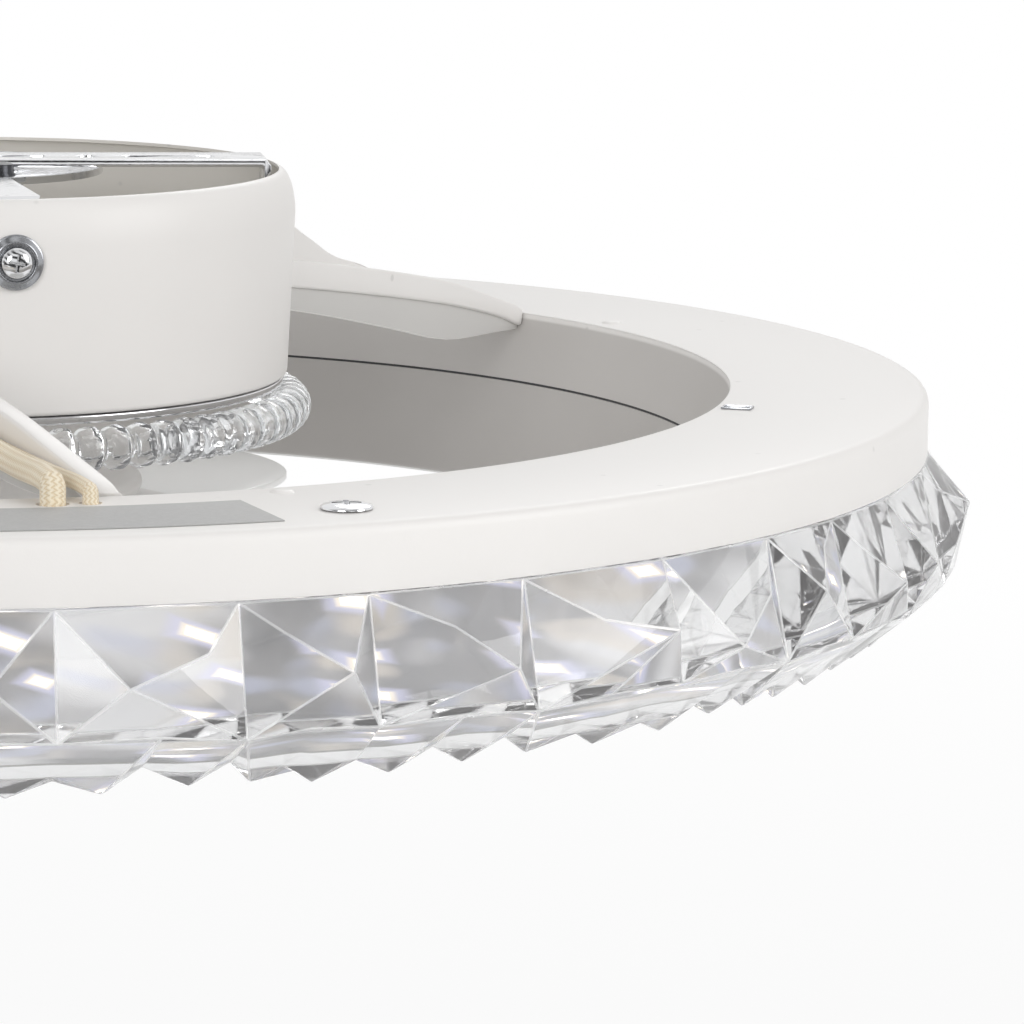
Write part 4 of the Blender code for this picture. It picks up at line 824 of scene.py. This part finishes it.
# small fixings and the bare plate on the ring's top face
rivetLook = {"place": 0.2055, "angles": (-69.8, 27.3, 77.0, 127.0, 177.0, 227.0), "radius": 0.003, "height": 0.0007}
clipLook = {
    "angle": -20.2, "place": 0.205, "size": (0.0076, 0.0048, 0.0006), "border": 0.0006, "slot": 0.0005, "edge": 0.0002,
}
labelLook = {
    "start": -97.0, "sweep": 23.6, "inner": 0.2135, "outer": 0.2415, "sheet": 0.00025, "edge": 0.00008, "gap": 0.00005,
}


def makeRivets(look):
    outline = [
        (0.0, look["height"], 0.0), (look["radius"] * 0.7, look["height"] * 0.85, 0.0004),
        (look["radius"], 0.0, 0.0), (0.0, 0.0, 0.0)]
    first = lathe("ringRivets", outline, 24)
    items = copiesOf(first, len(look["angles"]))
    for item, degrees in zip(items, look["angles"]):
        placeAlong(item, around(look["place"], degrees, ringPlane), upright)
    joinAll(items, "ringRivets")
    smoothEdges(first, 40.0)
    dress(first, enamel)


def makeClip(look):
    # a small spring clip with a slot across it
    clearSelection()
    bpy.ops.mesh.primitive_cube_add(size=1.0)
    item = bpy.context.object
    item.scale = look["size"]
    settle(item, "ringClip")
    editMode(item)
    objectMode()
    for face in item.data.polygons:
        face.select = face.normal.z > 0.9
    bpy.ops.object.mode_set(mode="EDIT")
    bpy.ops.mesh.inset(thickness=look["border"])
    bpy.ops.mesh.extrude_region_move(TRANSFORM_OT_translate={"value": (0.0, 0.0, -look["slot"])})
    objectMode()
    bevelEdges(item, look["edge"])
    applyAll(item)
    item.rotation_euler.z = radians(look["angle"])
    item.location = around(look["place"], look["angle"], ringPlane + look["size"][2] / 2)
    settle(item, "ringClip")
    smoothEdges(item)
    dress(item, washerSteel)


def makeBarePlate(look):
    # spun clockwise from the X axis, so it is turned back by its sweep
    item = newProfile("ringPlate", [(look["inner"], ringPlane), (look["outer"], ringPlane)])
    spinProfile(40, radians(look["sweep"]))
    item.rotation_euler.z = radians(look["start"] + look["sweep"])
    settle(item, "ringPlate")
    tidyMesh(item)
    top = min(face.normal.z for face in item.data.polygons)
    thick = item.modifiers.new("sheet", "SOLIDIFY")
    thick.thickness = look["sheet"]
    thick.offset = 1.0 if top > 0.0 else -1.0
    bevelEdges(item, look["edge"], 1)
    applyAll(item)
    lowest = min(vert.co.z for vert in item.data.vertices)
    item.location.z = ringPlane + look["gap"] - lowest
    settle(item, "ringPlate")
    smoothEdges(item)
    dress(item, plateSilver)


makeRivets(rivetLook)
makeClip(clipLook)
makeBarePlate(labelLook)
print("stage: rivets, clip and bare plate")


beadShape = {"count": 76, "circle": 0.0853, "height": -0.064, "radius": 0.0057, "waist": 0.62, "gap": 0.0001}


def makeBeads(look):
    # one faceted barrel with pinched ends, copied round the drum's foot
    pitch = tau * look["circle"] / look["count"] - look["gap"]
    r, w = look["radius"], look["radius"] * look["waist"]
    half = pitch / 2
    outline = [
        (0.0, half, 0.0), (w, half, 0.0), (r * 0.93, half * 0.62, 0.0006), (r, half * 0.15, 0.0008),
        (r * 0.985, -half * 0.35, 0.0008), (r * 0.86, -half * 0.75, 0.0005), (w, -half, 0.0), (0.0, -half, 0.0)]
    first = lathe("beadRing", outline, 14)
    smoothEdges(first, 24.0)
    items = copiesOf(first, look["count"])
    for index, item in enumerate(items):
        degrees = 360.0 * (index + 0.5) / look["count"]
        placeAlong(item, around(look["circle"], degrees, look["height"]), around(1.0, degrees + 90.0, 0.0))
    joinAll(items, "beadRing")
    dress(first, beadClear, "bead_ring")


makeBeads(beadShape)
print("stage: beads")


# slim bars and bracket plates: the CAD solids with their sharp edges broken
edgeLooks = {
    "ceiling_strap": 0.0003, "cross_plate": 0.0003, "nipple_nut": 0.0004, "shaft_nut": 0.0005,
    "bracket_stud_front": 0.0003, "bracket_stud_back": 0.0003, "light_driver": 0.0008, "fan_controller": 0.0008,
}
cornerLooks = {"cross_plate": 0.0042, "light_driver": 0.003, "fan_controller": 0.003}


def roundCorners(item, size):
    # the sharp upright corners of a flat plate get a radius
    editMode(item, "EDGE")
    mesh = bmesh.from_edit_mesh(item.data)
    for edge in mesh.edges:
        run = edge.verts[1].co - edge.verts[0].co
        corner = len(edge.link_faces) == 2 and edge.calc_face_angle_signed(0.0) > radians(60.0)
        edge.select = corner and abs(run.z) > run.length * 0.9 and run.length > 0.0008
    bmesh.update_edit_mesh(item.data)
    bpy.ops.mesh.bevel(offset=size, segments=5, affect="EDGES")
    objectMode()


def breakEdges(name, width, smooth=40.0, sharpest=35.0, rim=None):
    # the broken edges of the crystals get a frosted finish of their own
    item = copyOf(nodes[name], pieceName(name))
    item.hide_render = False
    editMode(item, "VERT", everything=True)
    bpy.ops.mesh.remove_doubles(threshold=weld)
    bpy.ops.mesh.dissolve_limited(angle_limit=radians(1.0))
    objectMode()
    if name in cornerLooks:
        roundCorners(item, cornerLooks[name])
    edge = bevelEdges(item, width, 2, sharpest)
    if rim:
        item.data.materials.append(rim)
        edge.material = 1
    applyAll(item)
    smoothEdges(item, smooth)
    faces = [face.material_index for face in item.data.polygons]
    dress(item, ownFinish.get(name) or slotFinish[slotOf[name]], name)
    if rim:
        item.data.materials.append(rim)
        item.data.polygons.foreach_set("material_index", faces)


for name, width in edgeLooks.items():
    breakEdges(name, width)
breakEdges("crystal_ring", 0.00034, smooth=10.0, sharpest=14.0, rim=crystalRim)


nippleLook = {"bore": 0.0036, "root": 0.0044, "crest": 0.005, "low": -0.021, "pitch": 0.0012, "lead": 0.0002}


def makeNipple(look):
    # the threaded hanger tube at the strap's centre, with a ridge for each turn of its thread
    bore, root, crest, low, pitch = (look[key] for key in ("bore", "root", "crest", "low", "pitch"))
    outline = [(bore, low / 2, 0.0), (bore, 0.0, look["lead"]), (root + look["lead"], 0.0, 0.0)]
    for index in range(int((-look["lead"] * 2 - low) / pitch)):
        height = -look["lead"] - pitch * index
        for radius, share in ((root, 0.0), (crest, 0.3), (crest, 0.5), (root, 0.8)):
            outline.append((radius, height - pitch * share, 0.0))
    item = lathe("hangerNipple", outline + [(root, low, 0.0), (bore, low, 0.0)], 48)
    dress(item, darkSteel, "hanger_nipple")


makeNipple(nippleLook)
print("stage: strap, plate, nuts and boxes")


# blades: the solid's own tables, read along smooth curves
bladeShape = {
    "flat": 0.0623, "root": 0.048, "tip": 0.167, "top": -0.0956, "sheet": 0.0022, "edge": 0.0007, "drop": 0.0048,
    "rise": 0.0021, "bend": 0.02, "rows": 32, "columns": 16,
    "reach": (-1.0, 0.0, 0.17, 0.363, 0.557, 0.705, 0.841, 0.932, 1.0),
    "lead": (38.0, 37.0, 37.5, 40.0, 43.5, 47.8, 54.5, 61.0, 68.0),
    "trail": (78.0, 84.0, 89.0, 91.0, 90.5, 88.5, 85.0, 81.0, 75.5),
}


def alongTable(values, share):
    # a smooth reading of a table at a share of its length
    place = share * (len(values) - 1)
    index = min(int(place), len(values) - 2)
    t = place - index
    a = values[max(index - 1, 0)]
    b, c = values[index], values[index + 1]
    d = values[min(index + 2, len(values) - 1)]
    return b + 0.5 * t * (c - a + t * (2 * a - 5 * b + 4 * c - d + t * (3 * (b - c) + d - a)))


def bladePoint(shape, across, along):
    reach = alongTable(shape["reach"], along)
    lead = alongTable(shape["lead"], along)
    trail = alongTable(shape["trail"], along)
    reachSpan = shape["flat"] - shape["root"] if reach < 0.0 else shape["tip"] - shape["flat"]
    radius = shape["flat"] + reachSpan * reach
    bend = max(0.0, min(1.0, (radius - shape["flat"]) / shape["bend"]))
    bend = bend * bend * (3.0 - 2.0 * bend)
    height = shape["top"] - shape["sheet"] / 2 - shape["drop"] * bend
    height += shape["rise"] * bend * (1.0 - across * 2) + shape["rise"] * bend * sin(pi * across) / 2
    return around(radius, lead + (trail - lead) * across, height)


def makeBlades(shape, fixing):
    clearSelection()
    bpy.ops.mesh.primitive_grid_add(x_subdivisions=shape["columns"], y_subdivisions=shape["rows"], size=1.0)
    first = bpy.context.object
    for vert in first.data.vertices:
        vert.co = bladePoint(shape, vert.co.x + 0.5, vert.co.y + 0.5)
    tidyMesh(first)
    thick = first.modifiers.new("sheet", "SOLIDIFY")
    thick.thickness = shape["sheet"] - 0.0001
    thick.offset = 0.0
    bevelEdges(first, shape["edge"], 3, 40.0)
    applyAll(first)
    drill(first, around(fixing["place"], fixing["start"], shape["top"]), fixing["hole"], 0.01)
    for index, item in enumerate(copiesOf(first, fixing["count"])):
        node = "fan_blade_%d" % (index + 1)
        item.rotation_euler.z = tau * index / fixing["count"]
        settle(item, pieceName(node))
        smoothEdges(item, 40.0)
        dress(item, bladePlastic, node, "rotor")


makeBlades(bladeShape, bladeFixing)
print("stage: blades")


# arms: a bar with a thin web, from the drum's wall to the ring's inner wall
armShape = {
    "angles": {"right": 37.3, "left": 158.0, "front": 279.5}, "sweep": 32.0, "foot": 0.0846, "ring": 0.1991,
    "width": 0.0056, "web": 0.0026, "rise": 0.0285, "gusset": 0.0388, "gussetLength": 0.051,
    "past": 0.0048, "runIn": 0.02115, "fine": 4, "edge": 0.0009, "webEdge": 0.0004,
    "stations": (0.0, 0.2, 0.45, 0.67, 0.88, 0.97, 1.0),
    "top": (1.0, 0.86, 0.667, 0.47, 0.205, 0.085, 0.008),
    "low": (0.744, 0.604, 0.418, 0.239, 0.025, -0.105, -0.14),
    "webLow": (0.537, 0.358, 0.112, -0.105, -0.147, -0.165, -0.172),
    "gussetStations": (0.0, 0.145, 0.276, 0.4, 0.543, 0.723, 0.851, 1.0),
    "gussetHeights": (1.0, 0.902, 0.825, 0.745, 0.675, 0.621, 0.572, 0.5),
    "ends": (   # cones that trim the arm to the drum's wall and to the ring's inner wall
        ({"vertices": 180, "radius1": 0.0849, "radius2": 0.0871, "depth": 0.05}, ringPlane + 0.027, "DIFFERENCE"),
        ({"vertices": 256, "radius1": 0.194, "radius2": 0.21, "depth": 0.064}, -0.0434, "INTERSECT"),
    ),
}


def fineLine(stations, heights, length, rise, fine):
    steps = (len(stations) - 1) * fine
    points = []
    for step in range(steps + 1):
        share = step / steps
        points.append((length * alongTable(stations, share), rise * alongTable(heights, share)))
    return points


def uprightPlate(name, outline, width, bevel):
    # an outline in the XZ plane, filled and given its width
    item = newProfile(name, outline + outline[:1])
    bpy.ops.mesh.select_all(action="SELECT")
    bpy.ops.mesh.remove_doubles(threshold=weld)
    bpy.ops.mesh.edge_face_add()
    bpy.ops.mesh.extrude_region_move(TRANSFORM_OT_translate={"value": (0.0, width, 0.0)})
    bpy.ops.mesh.select_all(action="SELECT")
    bpy.ops.transform.translate(value=(0.0, -width / 2, 0.0))
    bpy.ops.mesh.normals_make_consistent(inside=False)
    objectMode()
    bevelEdges(item, bevel, 3, 50.0)
    applyAll(item)
    return item


def armLines(shape, length):
    # the bar's top and bottom and the web's bottom, run on into the drum and past the ring's wall
    lines = []
    for key in ("top", "low", "webLow"):
        line = fineLine(shape["stations"], shape[key], length, shape["rise"], shape["fine"])
        lines.append([(-shape["runIn"], line[0][1])] + line[:-1] + [(length + shape["past"], line[-1][1])])
    return lines


def makeArm(label, degrees, shape):
    start = around(shape["foot"], degrees - shape["sweep"], 0.0)
    direction = around(shape["ring"], degrees, 0.0) - start
    top, low, webLow = armLines(shape, direction.length)
    reach = shape["gussetLength"]
    fin = fineLine(shape["gussetStations"], shape["gussetHeights"], reach, shape["gusset"], 2)
    middle = [(x, (high + foot) / 2) for (x, high), (_, foot) in zip(top, low) if x > reach + 0.001]
    webLine = [(-shape["runIn"], shape["gusset"])] + fin + middle + webLow[::-1]
    bar = uprightPlate("armBar", top + low[::-1], shape["width"], shape["edge"])
    cutWith(bar, uprightPlate("armWeb", webLine, shape["web"], shape["webEdge"]), "UNION")
    bar.location = (start.x, start.y, ringPlane)
    bar.rotation_euler.z = atan2(direction.y, direction.x)
    settle(bar, pieceName("arm_" + label))
    for cone, middleHeight, operation in shape["ends"]:
        bpy.ops.mesh.primitive_cone_add(location=(0.0, 0.0, middleHeight), **cone)
        cutWith(bar, bpy.context.object, operation)
    smoothEdges(bar, 30.0)
    dress(bar, enamel, "arm_" + label)
    # the web's side faces get the darker enamel: painted shade under the bar
    bar.data.materials.append(thinEnamel)
    side = Vector((-direction.y, direction.x, 0.0)).normalized()
    for face in bar.data.polygons:
        offset = abs((face.center - start).dot(side))
        onWeb = offset < shape["web"] / 2 + 0.0002 and face.center.z < ringPlane + shape["rise"] * 0.85
        face.material_index = 1 if onWeb and abs(face.normal.dot(side)) > 0.9 else 0


for label, degrees in armShape["angles"].items():
    makeArm(label, degrees, armShape)
print("stage: arms")


cameraLook = {
    "focalPixels": 4931.465, "standOff": 1.272462, "height": 0.178743,   # height over the ring's top face
    "yaw": 0.1128296, "pitch": 0.1674464, "roll": 0.0108317, "sensor": 36.0, "pixels": 1024.0,
}


def makeCamera(look):
    camera = newObject("photoCamera", bpy.data.cameras.new("photoCamera"))
    camera.data.sensor_width = look["sensor"]
    camera.data.lens = look["focalPixels"] * look["sensor"] / look["pixels"]
    camera.data.clip_start = 0.01
    camera.matrix_world = Matrix.Translation((0.0, -look["standOff"], look["height"] + ringPlane))
    for angle, axis in ((-look["yaw"], "Z"), (pi / 2 - look["pitch"], "X"), (look["roll"], "Z")):
        camera.matrix_world = camera.matrix_world @ Matrix.Rotation(angle, 4, axis)
    bpy.context.scene.camera = camera


lampLook = {
    "key": {"place": (-0.9, -2.2, 0.75), "aim": (0.05, -0.05, -0.06), "size": 1.3, "watts": 19.0},
    "fill": {"place": (1.7, -1.0, 0.6), "aim": (0.1, -0.05, -0.06), "size": 1.2, "watts": 14.0},
    "back": {"place": (0.6, 1.8, 1.3), "aim": (0.0, 0.1, -0.06), "size": 1.2, "watts": 10.0},
}
worldLook = {"diffuse": 0.53, "white": 1.0, "dim": 0.26, "mirrorWhite": 0.92, "mirrorDark": 0.04}
floorLook = {"drop": 0.45, "size": 9.0, "pale": (0.86, 0.86, 0.86), "dark": (0.05, 0.05, 0.05)}


def makeLamps(look):
    for name, lamp in look.items():
        data = bpy.data.lights.new(name + "Lamp", "AREA")
        data.shape = "DISK"
        data.size = lamp["size"]
        data.energy = lamp["watts"]
        item = newObject(name + "Lamp", data)
        aim = Vector(lamp["aim"]) - Vector(lamp["place"])
        item.location = lamp["place"]
        item.rotation_euler = aim.to_track_quat("-Z", "Y").to_euler()


def rayKinds(wire):
    # camera rays, mirror rays that haven't passed through a crystal, rays through crystals, and any of them
    path = wire.tree.nodes.new("ShaderNodeLightPath")
    names = ("Is Camera Ray", "Is Glossy Ray", "Is Transmission Ray")
    camera, glossy, through = (Wire(wire.tree, path.outputs[name]) for name in names)
    return camera, glossy * (1.0 - through), through, (camera + glossy + through).maths("MINIMUM", 1.0)


def makeWorld(look):
    world = bpy.data.worlds.new("studio")
    bpy.context.scene.world = world
    wire, surface = clearTree(world, "World")
    camera, shine, _, seen = rayKinds(wire)
    across, depth, height = wire.split(wire.node("TexCoord"))
    ahead = depth.above(-0.15, 0.35)                      # the bright backdrop, behind the fan
    bands = (across * 5.0 + height * 2.0).maths("SINE").above(0.15, 0.12)
    front = bands.span(0.0, 1.0, (look["dim"], look["white"]))
    pale = (ahead * look["white"]).maths("MAXIMUM", front)
    strips = (across * 9.0 + height * 14.0).maths("SINE").above(-0.1, 0.25)
    dark = strips.span(0.0, 1.0, (look["mirrorDark"], look["mirrorWhite"]))
    mirror = ahead.span(0.0, 1.0, (0.0, look["mirrorWhite"])).maths("MAXIMUM", dark)
    sight = camera.maths("MAXIMUM", shine * mirror + (1.0 - shine) * pale)
    strength = seen * sight + (1.0 - seen) * look["diffuse"]
    background = wire.node("Background", None, {"Color": (1.0, 1.0, 1.0), "Strength": strength})
    wire.feed(surface, background)


def makeFloor(look):
    clearSelection()
    bpy.ops.mesh.primitive_plane_add(size=look["size"], location=(0.0, 0.0, cadBounds[0][2] - look["drop"]))
    floor = bpy.context.object
    floor.name = "studioFloor"
    bpy.ops.object.transform_apply(location=True)
    material = bpy.data.materials.new("paleFloor")
    wire, surface = clearTree(material)
    _, shine, through, seen = rayKinds(wire)
    spot = wire.node("TexCoord", output=3)
    far = wire.node("VectorMath", {"operation": "LENGTH"}, {0: spot}, output=1).above(1.9, 0.9)
    _, near, _ = wire.split(spot)
    front = 1.0 - near.above(-0.9, 0.3)                   # polished metal sees a dark floor in front of the fan
    lift = seen * far.span(0.0, 1.0, (0.84, 1.0)) * (1.0 - shine * front)
    lift = lift * (1.0 - through * (1.0 - near.above(-0.1, 0.5)) * 0.5)
    shade = (shine * front).mix(look["pale"], look["dark"])
    diffuse = wire.node("BsdfDiffuse", None, {"Color": shade})
    white = wire.node("Emission", None, {"Color": (1.0, 1.0, 1.0), "Strength": 1.0})
    blend = wire.node("MixShader", None, {0: lift, 1: diffuse, 2: white})
    wire.feed(surface, blend)
    floor.data.materials.append(material)


makeCamera(cameraLook)
makeLamps(lampLook)
makeWorld(worldLook)
makeFloor(floorLook)
bpy.context.scene.view_settings.view_transform = "Standard"
print("stage: camera, lamps, world and floor")
